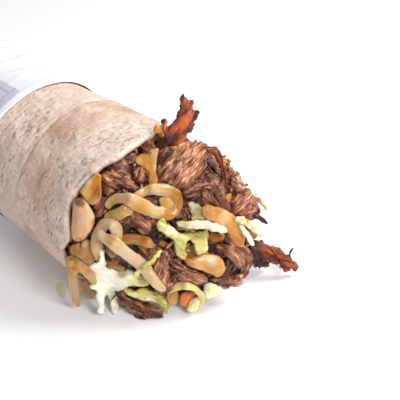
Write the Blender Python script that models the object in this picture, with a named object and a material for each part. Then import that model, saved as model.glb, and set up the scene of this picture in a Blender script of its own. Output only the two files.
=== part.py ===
"""A doner kebab wrap on a table: a flatbread rolled round meat, onion and cabbage, its back in paper.

Metres, +Z up. The roll lies along X with its open mouth towards +X, and the filling spills out in front.
"""

import bisect
import math
import random

import bmesh
import bpy
from mathutils import Vector, noise
from mathutils.bvhtree import BVHTree

MM = 0.001

# The roll. X is 0 near the mouth while the shapes are made, and all of it is centred on the floor at the end.
AXIS_HEIGHT = 31.8 * MM
ROLL_RADIUS = {-0.200: 31.4 * MM, -0.041: 31.4 * MM, 0.0: 32.7 * MM, 0.020: 33.3 * MM}
ROLL_WIDENING = 1.015
BREAD_WALL = 2.2 * MM
LAYER_STEP = 1.5 * MM
LAYER_EDGE_DEG = 14
BREAD_BACK = -138 * MM
BACK_ROUNDING = 12 * MM
BACK_TAPER = 0.8
# How far the bread reaches forward at each angle round the roll: 0 is the +Y side, 90 the top.
MOUTH_REACH = {
    -10: 9 * MM, 30: 8 * MM, 62: 10.5 * MM, 80: 18 * MM, 102: 20.7 * MM, 130: 16.2 * MM,
    147: 13.3 * MM, 170: 15 * MM, 193: 10 * MM, 260: 8 * MM,
}

# Where the bread's rows of points are, as a share of its length from the mouth, outside and inside.
OUTSIDE_ROWS = (0, 0.06, 0.16, 0.28, 0.345, 0.38, 0.5, 0.65, 0.8, 0.9, 0.94, 0.98, 1)
INSIDE_ROWS = (0.004, 0.1, 0.28, 0.345, 0.38, 0.6, 0.9, 0.95, 1)
PAPER_STEP_START, PAPER_STEP_LENGTH = -36 * MM, 4 * MM
SKIN_SWELL, SWELL_AROUND, SWELL_ALONG = 0.7 * MM, 1.3, 28

# The paper, which the roll stands on at its back.
PAPER_FRONT = -41 * MM
PAPER_BACK = -141 * MM
PAPER_GAP = 0.3 * MM
PAPER_THICKNESS = 0.7 * MM
PAPER_CRUMPLE = 1.4 * MM
PAPER_PLEATS = 9
PAPER_PLEAT_DEPTH = 1.6 * MM
PAPER_SLANT, SLANT_TURN = 1.2 * MM, 40
CREASE_AROUND, CREASE_ALONG, SMOOTH_FRONT = 2.2, 45, 20 * MM
# The paper's rows: (share of its length, share of its full size, share of the pleats' depth).
PAPER_SIDE_ROWS = ((0.08, 1, 0), (0.25, 1, 0), (0.45, 1, 0), (0.65, 1, 0), (0.82, 1, 0), (0.9, 0.985, 0))
PAPER_END_ROWS = ((0.97, 0.93, 0), (1, 0.8, 0.2), (1.006, 0.55, 0.6), (1.012, 0.2, 0.4))

# The core of the filling: (x, side shift, half width, top) of each section that stands out of the mouth.
CORE_GAP = 0.45 * MM
CORE_SECTIONS = [
    (13 * MM, 0.5 * MM, 29.5 * MM, 61 * MM),
    (20 * MM, 4 * MM, 29 * MM, 57 * MM),
    (27 * MM, 8 * MM, 27 * MM, 53 * MM),
    (34 * MM, 13 * MM, 24 * MM, 49 * MM),
    (40.5 * MM, 17 * MM, 19 * MM, 42 * MM),
    (45 * MM, 19 * MM, 12 * MM, 31 * MM),
]
CORE_BASE = 17 * MM
CORE_LUMPS, LUMPS_AROUND, LUMPS_ALONG = 1.6 * MM, 2, 90
CORE_SQUARENESS = 0.8
CORE_AROUND = 24
CORE_BACK_GAP = 4 * MM
CORE_INSIDE_ROWS = (
    BREAD_BACK + CORE_BACK_GAP, BREAD_BACK + 14 * MM, -60 * MM, -41 * MM, -36 * MM, -20 * MM, 0, 8 * MM,
)
WELD = 0.01 * MM

# Torn bits of meat that are one with the core: how many, and the sizes of the largest.
SHREDS = 46
SHRED_SPACING = 5.5 * MM
SHRED_LENGTH, SHRED_WIDTH, SHRED_THICKNESS = 13 * MM, 4.2 * MM, 3.4 * MM
SHRED_RINGS = ((-1, 0.45), (-0.45, 1), (0.4, 0.9), (1, 0.35))
SHRED_SIDES = ((-1, 0), (0, 1), (1, 0), (0, -1))
SHRED_START = 21 * MM
SHRED_PROUD = 0.5 * MM
SHRED_BEND, SHRED_CURL = 0.25, 0.12
SHRED_TRIES = 2000
HEAP_MIDDLE = (SHRED_START, 8 * MM, 24 * MM)

# A layout sheet is a plane that faces an eye point. Routes are drawn on it in units of SHEET_UNIT, right and
# down from its corner, and each point slides along its sight line until it meets the heap.
SHEET_UNIT = 0.3889 * MM
FRONT_SHEET = {
    "azimuth": 45, "elevation": 36, "distance": 311 * MM, "aside": 33.8 * MM, "above": -3.1 * MM,
    "centre": (0, 0, 32.5 * MM), "corner": (113, 192),
}
SIDE_SHEET = {
    "azimuth": 165, "elevation": 20, "distance": 300 * MM, "aside": 0, "above": 0,
    "centre": (24 * MM, 34 * MM, 28 * MM), "corner": (0, 0),
}
GAP = 0.35 * MM
FLOOR_GAP = 0.05 * MM

# Colour, roughness and metallic value of each food and of the paper.
FINISHES = {
    "bread": ((0.72, 0.55, 0.42), 0.85, 0.0),
    "paper": ((0.93, 0.91, 0.94), 0.6, 0.0),
    "meat": ((0.33, 0.16, 0.09), 0.5, 0.0),
    "crisp": ((0.36, 0.09, 0.03), 0.3, 0.0),
    "onion": ((0.72, 0.42, 0.17), 0.25, 0.0),
    "cabbage": ((0.80, 0.80, 0.52), 0.4, 0.0),
    "carrot": ((0.80, 0.26, 0.05), 0.4, 0.0),
}

# Slabs: (name, finish, centre, (length, breadth, thickness) in mm, turn in degrees, lean along and across in
# degrees, hollow in mm). They go down in this order, so each lies on those before it.
HEAP_SLABS = [
    ("meat_01", "meat", (188, 166), (20, 17, 6.0), 50, (0, 8), 0),
    ("meat_02", "meat", (117, 180), (14, 9, 4.5), -28, (0, 0), 0),
    ("meat_03", "meat", (133, 220), (11, 7, 4.0), -35, (0, 0), 0),
    ("meat_04", "meat", (199, 190), (14, 6, 4.0), 4, (0, 12), 0),
    ("meat_05", "meat", (212, 203), (10, 6, 4.0), -48, (0, 0), 0),
    ("meat_06", "meat", (243, 203), (11, 9, 6.0), 22, (0, 0), 0),
    ("meat_07", "meat", (140, 304), (17, 8, 6.0), -24, (0, 0), 0),
    ("meat_08", "meat", (161, 268), (16, 6, 5.0), 84, (0, 0), 0),
    ("meat_09", "meat", (189, 272), (14, 9, 4.5), -22, (0, 0), 0),
    ("meat_10", "meat", (227, 278), (11, 5, 3.5), 4, (0, 0), 0),
    ("meat_17", "meat", (259, 260), (7.5, 5.5, 4.0), -20, (0, 0), 0),
]
LAID_SLABS = [
    ("onion_01", "onion", (90, 189), (12, 8, 2.4), 62, (0, 0), 1.2),
    ("onion_02", "onion", (87, 250), (10, 7, 2.2), 70, (0, 0), 1.0),
    ("onion_16", "onion", (87, 287), (8, 5, 1.6), 70, (0, 0), 0.6),
    ("onion_03", "onion", (82, 223), (15, 7, 5.0), 80, (0, 0), 0),
    ("cabbage_01", "cabbage", (217, 290), (10, 5, 1.6), -22, (0, 0), 0.8),
    ("onion_04", "onion", (202, 265), (17, 7, 2.2), -14, (0, 12), 1.6),
    ("carrot_01", "carrot", (186, 297), (6.5, 4, 2.2), 55, (0, 0), 0),
    ("cabbage_02", "cabbage", (116, 279), (21, 7, 1.5), -4, (0, 14), 1.0),
]

# Ribbons: (name, finish, route, (width, thickness) in mm, (roll at the start, at the end) in degrees, slope).
# A route point is (right, down) or (right, down, lift in mm). The slope is how steeply a ribbon may fall.
FIRST_RIBBONS = [
    ("crisp_01", "crisp", [(170, 146), (174, 134, 1), (181, 119, 1), (186, 105), (186, 95, -1)],
     (6.2, 2.6), (10, -10), 0.25),
    ("crisp_02", "crisp", [(248, 247), (261, 250), (275, 257), (287, 264), (299, 267)],
     (5.5, 4.0), (0, 0), 0.5),
    ("crisp_03", "crisp", [(204, 147), (215, 152), (221, 163), (224, 175), (226, 188)],
     (2.0, 1.8), (0, 0), 0.25),
    ("meat_11", "meat", [(216, 186), (221, 197), (229, 211)], (3.4, 3.0), (0, 0), 0.4),
]
TOP_RIBBONS = [
    ("meat_12", "meat", [(226, 243), (240, 249), (247, 260), (245, 271)], (4.6, 3.4), (-15, -15), 0.7),
    ("meat_13", "meat", [(215, 246), (226, 250), (236, 258), (240, 268)], (4.2, 3.2), (-15, -15), 0.7),
    ("onion_05", "onion", [(147, 150), (152, 163), (154, 175), (151, 185)], (4.4, 2.0), (25, -10), 0.5),
    ("onion_06", "onion", [(208, 211), (222, 217), (234, 227), (241, 241)], (6.4, 2.0), (-20, 10), 0.5),
    ("onion_07", "onion", [(104, 218), (114, 216), (125, 211), (135, 206)], (4.0, 2.0), (20, 20), 0.6),
    ("onion_08", "onion", [(119, 241), (131, 239), (143, 241), (154, 247)], (3.6, 2.0), (20, 0), 0.6),
    ("onion_09", "onion", [(67, 257), (77, 264), (87, 273), (96, 284)], (3.5, 2.2), (0, 20), 0.7),
    ("onion_10", "onion", [(71, 268), (73, 283), (75, 296), (78, 307)], (3.2, 1.8), (0, 0), 1.2),
    ("cabbage_03", "cabbage", [(188, 201), (194, 209), (201, 219)], (4.4, 1.2), (0, 20), 0.6),
    ("cabbage_04", "cabbage", [(237, 218), (250, 226), (266, 237)], (4.8, 1.5), (20, 30), 0.4),
    ("cabbage_05", "cabbage", [(168, 292), (180, 286), (193, 288), (201, 296), (198, 305), (189, 311)],
     (2.8, 1.3), (10, 30), 1.2),
    ("onion_11", "onion", [(99, 262), (97, 247), (98, 233), (105, 224), (113, 225), (117, 233), (118, 244)],
     (3.8, 1.6), (20, -30), 0.8),
    ("onion_12", "onion", [(134, 197), (146, 191), (160, 190), (172, 194), (175, 204, 0.4), (167, 213, 1),
                           (154, 212, 2), (140, 205, 3), (127, 199, 3), (114, 200, 2), (106, 208, 0.5)],
     (4.0, 1.7), (25, -20), 0.6),
    ("cabbage_06", "cabbage", [(123, 289), (137, 293), (151, 297), (163, 303), (167, 313)],
     (3.4, 1.4), (0, 30), 0.9),
    ("cabbage_07", "cabbage", [(98, 252), (99, 262), (97, 272)], (3.6, 1.3), (0, 0), 0.7),
    ("cabbage_08", "cabbage", [(94, 285), (99, 297), (101, 310)], (4.2, 1.3), (0, 15), 1.2),
    ("cabbage_09", "cabbage", [(112, 290), (115, 302), (112, 315)], (2.4, 1.2), (0, -20), 1.2),
    ("onion_13", "onion", [(102, 236), (113, 243), (127, 254), (141, 265), (153, 279), (165, 291)],
     (4.2, 1.9), (15, -10), 0.6),
    ("cabbage_10", "cabbage", [(157, 221), (167, 232), (181, 238), (197, 236)], (4.8, 1.3), (15, -15), 0.6),
    ("cabbage_11", "cabbage", [(138, 270), (148, 262), (159, 252)], (2.4, 1.3), (20, 20), 0.4),
    ("cabbage_12", "cabbage", [(177, 222), (192, 223), (208, 225), (226, 230)], (3.4, 1.6), (-20, -20), 0.4),
    ("cabbage_13", "cabbage", [(199, 238), (203, 246), (200, 254)], (4.2, 1.2), (0, 15), 0.6),
    ("cabbage_14", "cabbage", [(176, 241), (181, 251), (185, 260)], (3.4, 1.2), (0, 20), 0.7),
    ("cabbage_17", "cabbage", [(58, 283), (61, 290), (65, 297)], (2.6, 1.2), (0, 10), 3),
    ("crisp_04", "crisp", [(252, 213), (260, 218), (268, 224)], (2.2, 1.8), (0, 0), 0.1),
]

# The side of the heap that faces away from the front, laid out on its own sheet.
SIDE_SLABS = [
    ("meat_14", "meat", (-4, 4), (15, 10, 4.0), 35, (0, 0), 0),
    ("meat_15", "meat", (26, -10), (15, 10, 4.0), -30, (0, 0), 0),
    ("meat_16", "meat", (12, 32), (16, 11, 4.5), 15, (0, 0), 0),
]
SIDE_RIBBONS = [
    ("onion_14", "onion", [(-12, 26), (-4, 16), (8, 12), (20, 18), (24, 34)], (4.2, 1.8), (20, -20), 0.7),
    ("onion_15", "onion", [(14, -20), (26, -14), (32, 0), (32, 14)], (4.4, 1.9), (-15, 20), 0.7),
    ("cabbage_15", "cabbage", [(-2, -10), (7, -6), (13, 4), (15, 16)], (4.0, 1.4), (15, 15), 0.6),
    ("cabbage_16", "cabbage", [(-8, 46), (4, 43), (18, 49)], (3.8, 1.4), (0, 20), 0.8),
]

SLAB_LIMIT_SLOPE = 0.55
SLAB_COLUMNS, SLAB_ROWS = 7, 5
SLAB_EDGE_SHARE = 0.4
SLAB_RAGGEDNESS, SLAB_NOTCHES = 0.22, 2.1
SLAB_LUMPINESS, SLAB_LUMPS = 0.2, 3
RIBBON_RING = ((-1, 0), (-0.5, 1), (0.5, 1), (1, 0), (0.5, -1), (-0.5, -1))
RIBBON_STEP = 2.7 * MM
RIBBON_END_SHARE, RIBBON_TAPER = 0.45, 1 / 6
UNEVENNESS, UNEVEN_SCALE = 0.12, 0.11
CURVE_POINTS = 12
SHORT_ROUNDS, LIFT_ROUNDS = 3, 40
LIFT = 0.3 * MM
AROUND_ROLL = 40

SEED = 12
placed = []


def between(table, value):
    """The value of a table of positions and sizes, straight between its entries."""
    keys = sorted(table)
    i = min(max(bisect.bisect(keys, value), 1), len(keys) - 1)
    low, high = keys[i - 1], keys[i]
    share = min(max((value - low) / (high - low), 0), 1)
    return table[low] + (table[high] - table[low]) * share


def mouth_reach(degrees):
    """How far forward the bread's edge is at an angle round the roll."""
    keys = sorted(MOUTH_REACH)
    around = {k: MOUTH_REACH[k] for k in keys}
    around[keys[0] + 360] = MOUTH_REACH[keys[0]]
    value = (degrees - keys[0]) % 360 + keys[0]
    i = min(max(bisect.bisect(sorted(around), value), 1), len(around) - 1)
    low, high = sorted(around)[i - 1 : i + 1]
    share = (value - low) / (high - low)
    ease = share * share * (3 - 2 * share)
    return around[low] + (around[high] - around[low]) * ease


def bread_floor(x):
    """The height of the bread's flat underside: on the table in front, on the paper behind."""
    rise = min(max((PAPER_STEP_START - x) / PAPER_STEP_LENGTH, 0), 1)
    return rise * (PAPER_GAP + PAPER_THICKNESS)


def roll_point(degrees, x, out, closing=1.0):
    """A point on the roll's skin, or out from it by that much, pressed flat where it lies on the table."""
    angle = math.radians(degrees)
    turn = ((degrees - LAYER_EDGE_DEG) % 360) / 360
    around = (math.cos(angle) * SWELL_AROUND, math.sin(angle) * SWELL_AROUND)
    swell = noise.noise(Vector((*around, x * SWELL_ALONG)))
    radius = between(ROLL_RADIUS, x) + LAYER_STEP * (turn - 0.5) + SKIN_SWELL * swell
    radius = (radius + out) * closing
    z = AXIS_HEIGHT + radius * math.sin(angle)
    return Vector((x, radius * ROLL_WIDENING * math.cos(angle), max(z, bread_floor(x) - out)))


def roll_angles():
    """Angles round the roll, with two close together at the step where the outer layer of bread ends."""
    step = 360 / AROUND_ROLL
    angles = [LAYER_EDGE_DEG + step * i for i in range(AROUND_ROLL)]
    return [LAYER_EDGE_DEG + 0.2, *angles[1:], LAYER_EDGE_DEG + 359.0]


def finish_of(name):
    """The material of a food, made once."""
    found = bpy.data.materials.get(name)
    if found:
        return found
    colour, roughness, metallic = FINISHES[name]
    made = bpy.data.materials.new(name)
    made.use_nodes = True
    shader = made.node_tree.nodes["Principled BSDF"]
    shader.inputs["Base Color"].default_value = (*colour, 1)
    shader.inputs["Roughness"].default_value = roughness
    shader.inputs["Metallic"].default_value = metallic
    return made


def add_object(name, finish, points, faces):
    """A named object with outward faces."""
    mesh = bpy.data.meshes.new(name)
    body = bmesh.new()
    corners = [body.verts.new(p) for p in points]
    for face in faces:
        body.faces.new([corners[i] for i in face])
    bmesh.ops.recalc_face_normals(body, faces=body.faces)
    bmesh.ops.triangulate(body, faces=body.faces)
    body.to_mesh(mesh)
    body.free()
    mesh.shade_smooth()
    mesh.materials.append(finish_of(finish))
    made = bpy.data.objects.new(name, mesh)
    bpy.context.scene.collection.objects.link(made)
    return made


def ring_faces(rings, around, closed_ends=True):
    """Faces of a tube of rings, each with the same number of points, and its two ends."""
    faces = []
    for i in range(rings - 1):
        for j in range(around):
            k = (j + 1) % around
            faces.append((i * around + j, i * around + k, (i + 1) * around + k, (i + 1) * around + j))
    if closed_ends:
        faces.append(tuple(reversed(range(around))))
        faces.append(tuple((rings - 1) * around + j for j in range(around)))
    return faces


def shell(name, finish, outer_rows, inner_rows):
    """A cup from rows of points: down the outside to a back point, and up the inside from another."""
    around = len(outer_rows[0])
    rows = [*reversed(inner_rows), *outer_rows]
    points = [p for row in rows for p in row]
    faces = ring_faces(len(rows), around, closed_ends=False)
    last = (len(rows) - 1) * around
    for first, row, turn in ((0, inner_rows[-1], 1), (last, outer_rows[-1], -1)):
        points.append(sum(row, Vector()) / around)
        hub = len(points) - 1
        faces += [(hub, first + (j + 1) % around, first + j)[::turn] for j in range(around)]
    return add_object(name, finish, points, faces)


def back_closing(x):
    """How much the roll has closed at its rounded back end: 1 is its full size."""
    share = min(max((BREAD_BACK + BACK_ROUNDING - x) / BACK_ROUNDING, 0), 1)
    return math.sqrt(1 - BACK_TAPER * share * share)


def make_bread():
    """The rolled flatbread: a cup with an uneven mouth, a step at its outer edge and a round back."""
    angles = roll_angles()

    def row(share, out, back):
        made = []
        for degrees in angles:
            front = mouth_reach(degrees)
            x = front + (back - front) * share
            made.append(roll_point(degrees, x, out, back_closing(x)))
        return made

    outer = [row(share, 0, BREAD_BACK) for share in OUTSIDE_ROWS]
    inner = [row(share, -BREAD_WALL, BREAD_BACK + BREAD_WALL) for share in INSIDE_ROWS]
    return shell("flatbread", "bread", outer, inner)


def make_paper():
    """The paper sleeve over the back of the roll, crumpled, with its end pleated shut."""
    angles = roll_angles()
    length = PAPER_BACK - PAPER_FRONT

    def row(share, thickness, closing, pleats, forward=0):
        made = []
        for degrees in angles:
            angle = math.radians(degrees)
            x = PAPER_FRONT + length * share + forward
            slant = PAPER_SLANT * math.sin(math.radians(degrees * 2 - SLANT_TURN)) * max(1 - share, 0)
            around = (math.cos(angle) * CREASE_AROUND, math.sin(angle) * CREASE_AROUND)
            crease = noise.noise(Vector((*around, x * CREASE_ALONG + PAPER_PLEATS)))
            away = min(max((PAPER_FRONT - x) / SMOOTH_FRONT, 0.15), 1)
            out = PAPER_GAP + thickness + PAPER_CRUMPLE * away * max(crease + 0.25, 0)
            point = roll_point(degrees, x + slant, out, closing)
            point.x -= pleats * PAPER_PLEAT_DEPTH * (1 + math.cos(angle * PAPER_PLEATS))
            point.z = max(point.z, PAPER_THICKNESS - thickness)
            made.append(point)
        return made

    outer = [row(0, PAPER_THICKNESS, 1, 0)]
    inner = [row(0.002, 0, 1, 0)]
    for share, closing, pleats in PAPER_SIDE_ROWS:
        outer.append(row(share, PAPER_THICKNESS, closing, pleats))
        inner.append(row(share, 0, closing, pleats))
    for share, closing, pleats in PAPER_END_ROWS:
        outer.append(row(share, PAPER_THICKNESS, closing, pleats))
        inner.append(row(share, 0, closing, pleats, PAPER_THICKNESS))
    return shell("paper_sleeve", "paper", outer, inner)


def core_ring(x, shift, half, top):
    """One section of the core where it stands out of the mouth and, further out, rests on the table."""
    reach = min((x - CORE_SECTIONS[0][0]) / CORE_BASE, 1)
    low = (BREAD_WALL + CORE_GAP) * (1 - reach)
    ring = []
    for j in range(CORE_AROUND):
        angle = 2 * math.pi * j / CORE_AROUND
        away, rise = math.cos(angle), math.sin(angle)
        place = Vector((away * LUMPS_AROUND, rise * LUMPS_AROUND, x * LUMPS_ALONG))
        lump = 1 + CORE_LUMPS / half * noise.noise(place)
        upright = (top - low) / 2 * (1 + math.copysign(abs(rise) ** CORE_SQUARENESS, rise) * lump)
        ring.append(Vector((x, shift + half * lump * away, low + max(upright, 0))))
    return ring


def torn_bit(middle, along, outward, scale):
    """A bent bar of meat that tapers at both ends."""
    across = along.cross(outward)
    bend = random.uniform(-SHRED_BEND, SHRED_BEND)
    points = []
    for t, full in SHRED_RINGS:
        curl = (across * bend - outward * SHRED_CURL) * t * t
        centre = middle + (along * t + curl) * SHRED_LENGTH / 2 * scale
        for a, b in SHRED_SIDES:
            side = across * a * SHRED_WIDTH + outward * b * SHRED_THICKNESS
            points.append(centre + side * full * scale / 2)
    return add_object("torn_bit", "meat", points, ring_faces(len(SHRED_RINGS), len(SHRED_SIDES)))


def fuse(body, bits):
    """Joins the bits to a body with one Boolean union, and removes them."""
    group = bpy.data.collections.new("bits")
    for bit in bits:
        bpy.context.scene.collection.objects.unlink(bit)
        group.objects.link(bit)
    bpy.context.scene.collection.children.link(group)
    union = body.modifiers.new("union", "BOOLEAN")
    union.operation = "UNION"
    union.operand_type = "COLLECTION"
    union.collection = group
    union.solver = "EXACT"
    seen = body.evaluated_get(bpy.context.evaluated_depsgraph_get())
    fused = bpy.data.meshes.new_from_object(seen)
    body.modifiers.clear()
    body.data = fused
    for bit in bits:
        bpy.data.objects.remove(bit)
    bpy.data.collections.remove(group)
    tidied = bmesh.new()
    tidied.from_mesh(fused)
    bmesh.ops.remove_doubles(tidied, verts=tidied.verts, dist=WELD)
    bmesh.ops.dissolve_degenerate(tidied, edges=tidied.edges, dist=WELD)
    bmesh.ops.triangulate(tidied, faces=tidied.faces)
    tidied.to_mesh(fused)
    tidied.free()


def make_core():
    """The packed filling: it runs through the roll and stands out of its mouth as a heap of torn meat."""
    inset = -(BREAD_WALL + CORE_GAP)
    rows = []
    for x in CORE_INSIDE_ROWS:
        closing = back_closing(x - CORE_BACK_GAP)
        rows.append([roll_point(360 * j / CORE_AROUND, x, inset, closing) for j in range(CORE_AROUND)])
    rows += [core_ring(*section) for section in CORE_SECTIONS]
    points = [p for row in rows for p in row]
    core = add_object("meat_filling", "meat", points, ring_faces(len(rows), CORE_AROUND))
    skin = tree_of([core])
    bits, spots = [], []
    middle = Vector(HEAP_MIDDLE)
    for _ in range(SHRED_TRIES):
        turn, tip = random.uniform(0, 2 * math.pi), random.uniform(0, 1)
        wide = math.sqrt(1 - tip * tip)
        way = Vector((tip, math.cos(turn) * wide, math.sin(turn) * wide))
        spot, normal, _, _ = skin.ray_cast(middle, way)
        lean = Vector((random.gauss(0, 1), random.gauss(0, 1), random.gauss(0, 1)))
        scale = random.uniform(0.7, 1)
        crowded = any((spot - other).length < SHRED_SPACING for other in spots)
        if len(bits) == SHREDS or crowded or spot.x < SHRED_START or spot.z < SHRED_LENGTH / 3:
            continue
        spots.append(spot)
        bits.append(torn_bit(spot + normal * SHRED_PROUD, normal.cross(lean).normalized(), normal, scale))
    fuse(core, bits)
    return core


class Sheet:
    """A layout sheet that faces an eye point: it turns drawn points into places on the heap."""

    def __init__(self, azimuth, elevation, distance, aside, above, centre, corner):
        a, e = math.radians(azimuth), math.radians(elevation)
        self.back = Vector((math.sin(a) * math.cos(e), -math.cos(a) * math.cos(e), math.sin(e)))
        self.right = Vector((math.cos(a), math.sin(a), 0))
        self.up = self.back.cross(self.right)
        self.centre, self.corner, self.distance = Vector(centre), corner, distance
        self.eye = self.centre + self.back * distance + self.right * aside + self.up * above

    def place(self, right, down, height):
        """The point at that height towards the eye above the sheet, on the sight line of a drawn point."""
        drawn = self.centre + self.right * (right - self.corner[0]) * SHEET_UNIT
        drawn -= self.up * (down - self.corner[1]) * SHEET_UNIT
        return self.eye + (drawn - self.eye) * (1 - height / self.distance)

    def height(self, point):
        """How far a point is from the sheet, towards the eye."""
        return self.distance - (self.eye - point).dot(self.back)

    def height_below(self, point, tree):
        """The height of what the sight line through a point meets first, a piece or the floor."""
        sight = point - self.eye
        floor = self.eye + sight * ((FLOOR_GAP - self.eye.z) / sight.z)
        found = self.height(floor)
        hit = tree.ray_cast(self.eye, sight.normalized())[0]
        return found if hit is None else max(found, self.height(hit))


def tree_of(objects):
    """One search tree over the faces of several objects."""
    points, faces = [], []
    for o in objects:
        start = len(points)
        points += [v.co.copy() for v in o.data.vertices]
        faces += [[start + i for i in p.vertices] for p in o.data.polygons]
    return BVHTree.FromPolygons(points, faces)


def settled(sheet, spots, build, slope):
    """The heights of a piece's stations: it lies on what is below, and falls away no steeper than slope.

    spots are the drawn points of the stations. build(heights, margin) gives the piece's points, grown by a
    margin and in equal groups, one for each station, and its faces.
    """
    tree = tree_of(placed)
    middles = [sheet.place(x, y, 0) for x, y in spots]

    def eased(needs):
        return [max(need - slope * (a - b).length for need, b in zip(needs, middles)) for a in middles]

    needs = [sheet.height_below(p, tree) for p in middles]
    points, faces = build(needs, GAP)
    group = len(points) // len(spots)
    for _ in range(SHORT_ROUNDS):
        heights = eased(needs)
        points, faces = build(heights, GAP)
        for i, height in enumerate(heights):
            mine = points[i * group : (i + 1) * group]
            needs[i] = height + max(sheet.height_below(p, tree) - sheet.height(p) for p in mine)
    for _ in range(LIFT_ROUNDS):
        heights = eased(needs)
        points, faces = build(heights, GAP)
        meeting = {face for face, _ in BVHTree.FromPolygons(points, faces).overlap(tree)}
        low = {i // group for i, p in enumerate(points) if p.z < FLOOR_GAP}
        if not meeting and not low:
            break
        for i in low | {corner // group for face in meeting for corner in faces[face]}:
            needs[i] = max(needs[i], heights[i]) + LIFT
    return heights


def smooth_route(route, step):
    """Points along a smooth curve through a route, and its lifts, about a step apart."""
    stops = [Vector((p[0], p[1], p[2] if len(p) > 2 else 0)) for p in route]
    stops = [stops[0] * 2 - stops[1], *stops, stops[-1] * 2 - stops[-2]]
    fine = []
    for i in range(1, len(stops) - 2):
        before, a, b, after = stops[i - 1 : i + 3]
        for n in range(CURVE_POINTS):
            t = n / CURVE_POINTS
            fine.append(
                0.5 * (2 * a + (b - before) * t + (2 * before - 5 * a + 4 * b - after) * t * t
                       + (3 * a - before - 3 * b + after) * t ** 3)
            )
    fine.append(stops[-2])
    lengths = [0]
    for a, b in zip(fine, fine[1:]):
        lengths.append(lengths[-1] + (b - a).xy.length)
    count = max(round(lengths[-1] / step), 4)
    made = []
    for n in range(count + 1):
        want = lengths[-1] * n / count
        i = min(max(bisect.bisect(lengths, want), 1), len(lengths) - 1)
        share = (want - lengths[i - 1]) / (lengths[i] - lengths[i - 1])
        made.append(fine[i - 1].lerp(fine[i], share))
    return made


def add_ribbon(sheet, name, finish, route, size, rolls, slope):
    """A strip of food along a drawn route, flat or rolled on its side, which narrows at both ends."""
    width, thickness = size[0] * MM, size[1] * MM
    line = smooth_route(route, RIBBON_STEP / SHEET_UNIT)
    count = len(line)
    spots = [(p.x, p.y) for p in line]

    def build(heights, margin):
        points = []
        for i, point in enumerate(line):
            share = i / (count - 1)
            ahead = line[min(i + 1, count - 1)] - line[max(i - 1, 0)]
            side = (sheet.right * ahead.y + sheet.up * ahead.x).normalized()
            roll = math.radians(rolls[0] + (rolls[1] - rolls[0]) * share)
            across = side * math.cos(roll) + sheet.back * math.sin(roll)
            outward = sheet.back * math.cos(roll) - side * math.sin(roll)
            inward = min(share, 1 - share, RIBBON_TAPER) / RIBBON_TAPER
            taper = RIBBON_END_SHARE + (1 - RIBBON_END_SHARE) * inward
            uneven = 1 + UNEVENNESS * noise.noise(Vector((point.x, point.y, len(name))) * UNEVEN_SCALE)
            end = {0: -margin, count - 1: margin}.get(i, 0)
            middle = sheet.place(point.x, point.y, heights[i] + point.z * MM)
            middle += (sheet.right * ahead.x - sheet.up * ahead.y).normalized() * end
            half = width / 2 * taper * uneven + margin
            points += [
                middle + across * a * half + outward * b * (thickness / 2 + margin) for a, b in RIBBON_RING
            ]
        return points, faces

    faces = ring_faces(count, len(RIBBON_RING))
    points, faces = build(settled(sheet, spots, build, slope), 0)
    placed.append(add_object(name, finish, points, faces))


def slab_faces():
    """Faces of a slab: a grid of columns and rows of point pairs, back and front, closed round its rim."""

    def corner(i, j, front):
        return 2 * (i * SLAB_ROWS + j) + front

    faces = []
    for i in range(SLAB_COLUMNS - 1):
        for j in range(SLAB_ROWS - 1):
            around = ((i, j), (i + 1, j), (i + 1, j + 1), (i, j + 1))
            faces.append([corner(a, b, 1) for a, b in around])
            faces.append([corner(a, b, 0) for a, b in reversed(around)])
    last_i, last_j = SLAB_COLUMNS - 1, SLAB_ROWS - 1
    rim = [(i, 0) for i in range(last_i)] + [(last_i, j) for j in range(last_j)]
    rim += [(last_i - i, last_j) for i in range(last_i)] + [(0, last_j - j) for j in range(last_j)]
    for (a, b), (c, d) in zip(rim, rim[1:] + rim[:1]):
        faces.append([corner(a, b, 0), corner(c, d, 0), corner(c, d, 1), corner(a, b, 1)])
    return faces


def add_slab(sheet, name, finish, centre, size, turn, leans, hollow):
    """A rounded, ragged slice that lies over the heap, thinner at its edge and hollowed by that much."""
    length, breadth, thickness = (s * MM for s in size)
    angle = math.radians(turn)
    tilts = [math.tan(math.radians(lean)) for lean in leans]
    seed = random.uniform(1, SEED)
    stations = []
    for i in range(SLAB_COLUMNS):
        for j in range(SLAB_ROWS):
            u, v = 2 * i / (SLAB_COLUMNS - 1) - 1, 2 * j / (SLAB_ROWS - 1) - 1
            x, y = u * math.sqrt(1 - v * v / 2), v * math.sqrt(1 - u * u / 2)
            ragged = 1 + SLAB_RAGGEDNESS * noise.noise(Vector((x, y, seed)) * SLAB_NOTCHES)
            along, across = x * length / 2 * ragged, y * breadth / 2 * ragged
            rise = along * tilts[0] + across * tilts[1] + hollow * MM * (x * x + y * y)
            depth = thickness * (1 - (1 - SLAB_EDGE_SHARE) * max(abs(u), abs(v)) ** 3)
            depth *= 1 + SLAB_LUMPINESS * noise.noise(Vector((x, y, -seed)) * SLAB_LUMPS)
            stations.append((along, across, x, y, rise, depth))

    def drawn(along, across):
        right = centre[0] + (along * math.cos(angle) - across * math.sin(angle)) / SHEET_UNIT
        down = centre[1] - (along * math.sin(angle) + across * math.cos(angle)) / SHEET_UNIT
        return right, down

    def build(heights, margin):
        points = []
        for (along, across, x, y, rise, depth), height in zip(stations, heights):
            right, down = drawn(along + x * margin, across + y * margin)
            for half in (-depth / 2 - margin, depth / 2 + margin):
                points.append(sheet.place(right, down, height + rise + half))
        return points, faces

    faces = slab_faces()
    spots = [drawn(station[0], station[1]) for station in stations]
    points, faces = build(settled(sheet, spots, build, SLAB_LIMIT_SLOPE), 0)
    placed.append(add_object(name, finish, points, faces))


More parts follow.
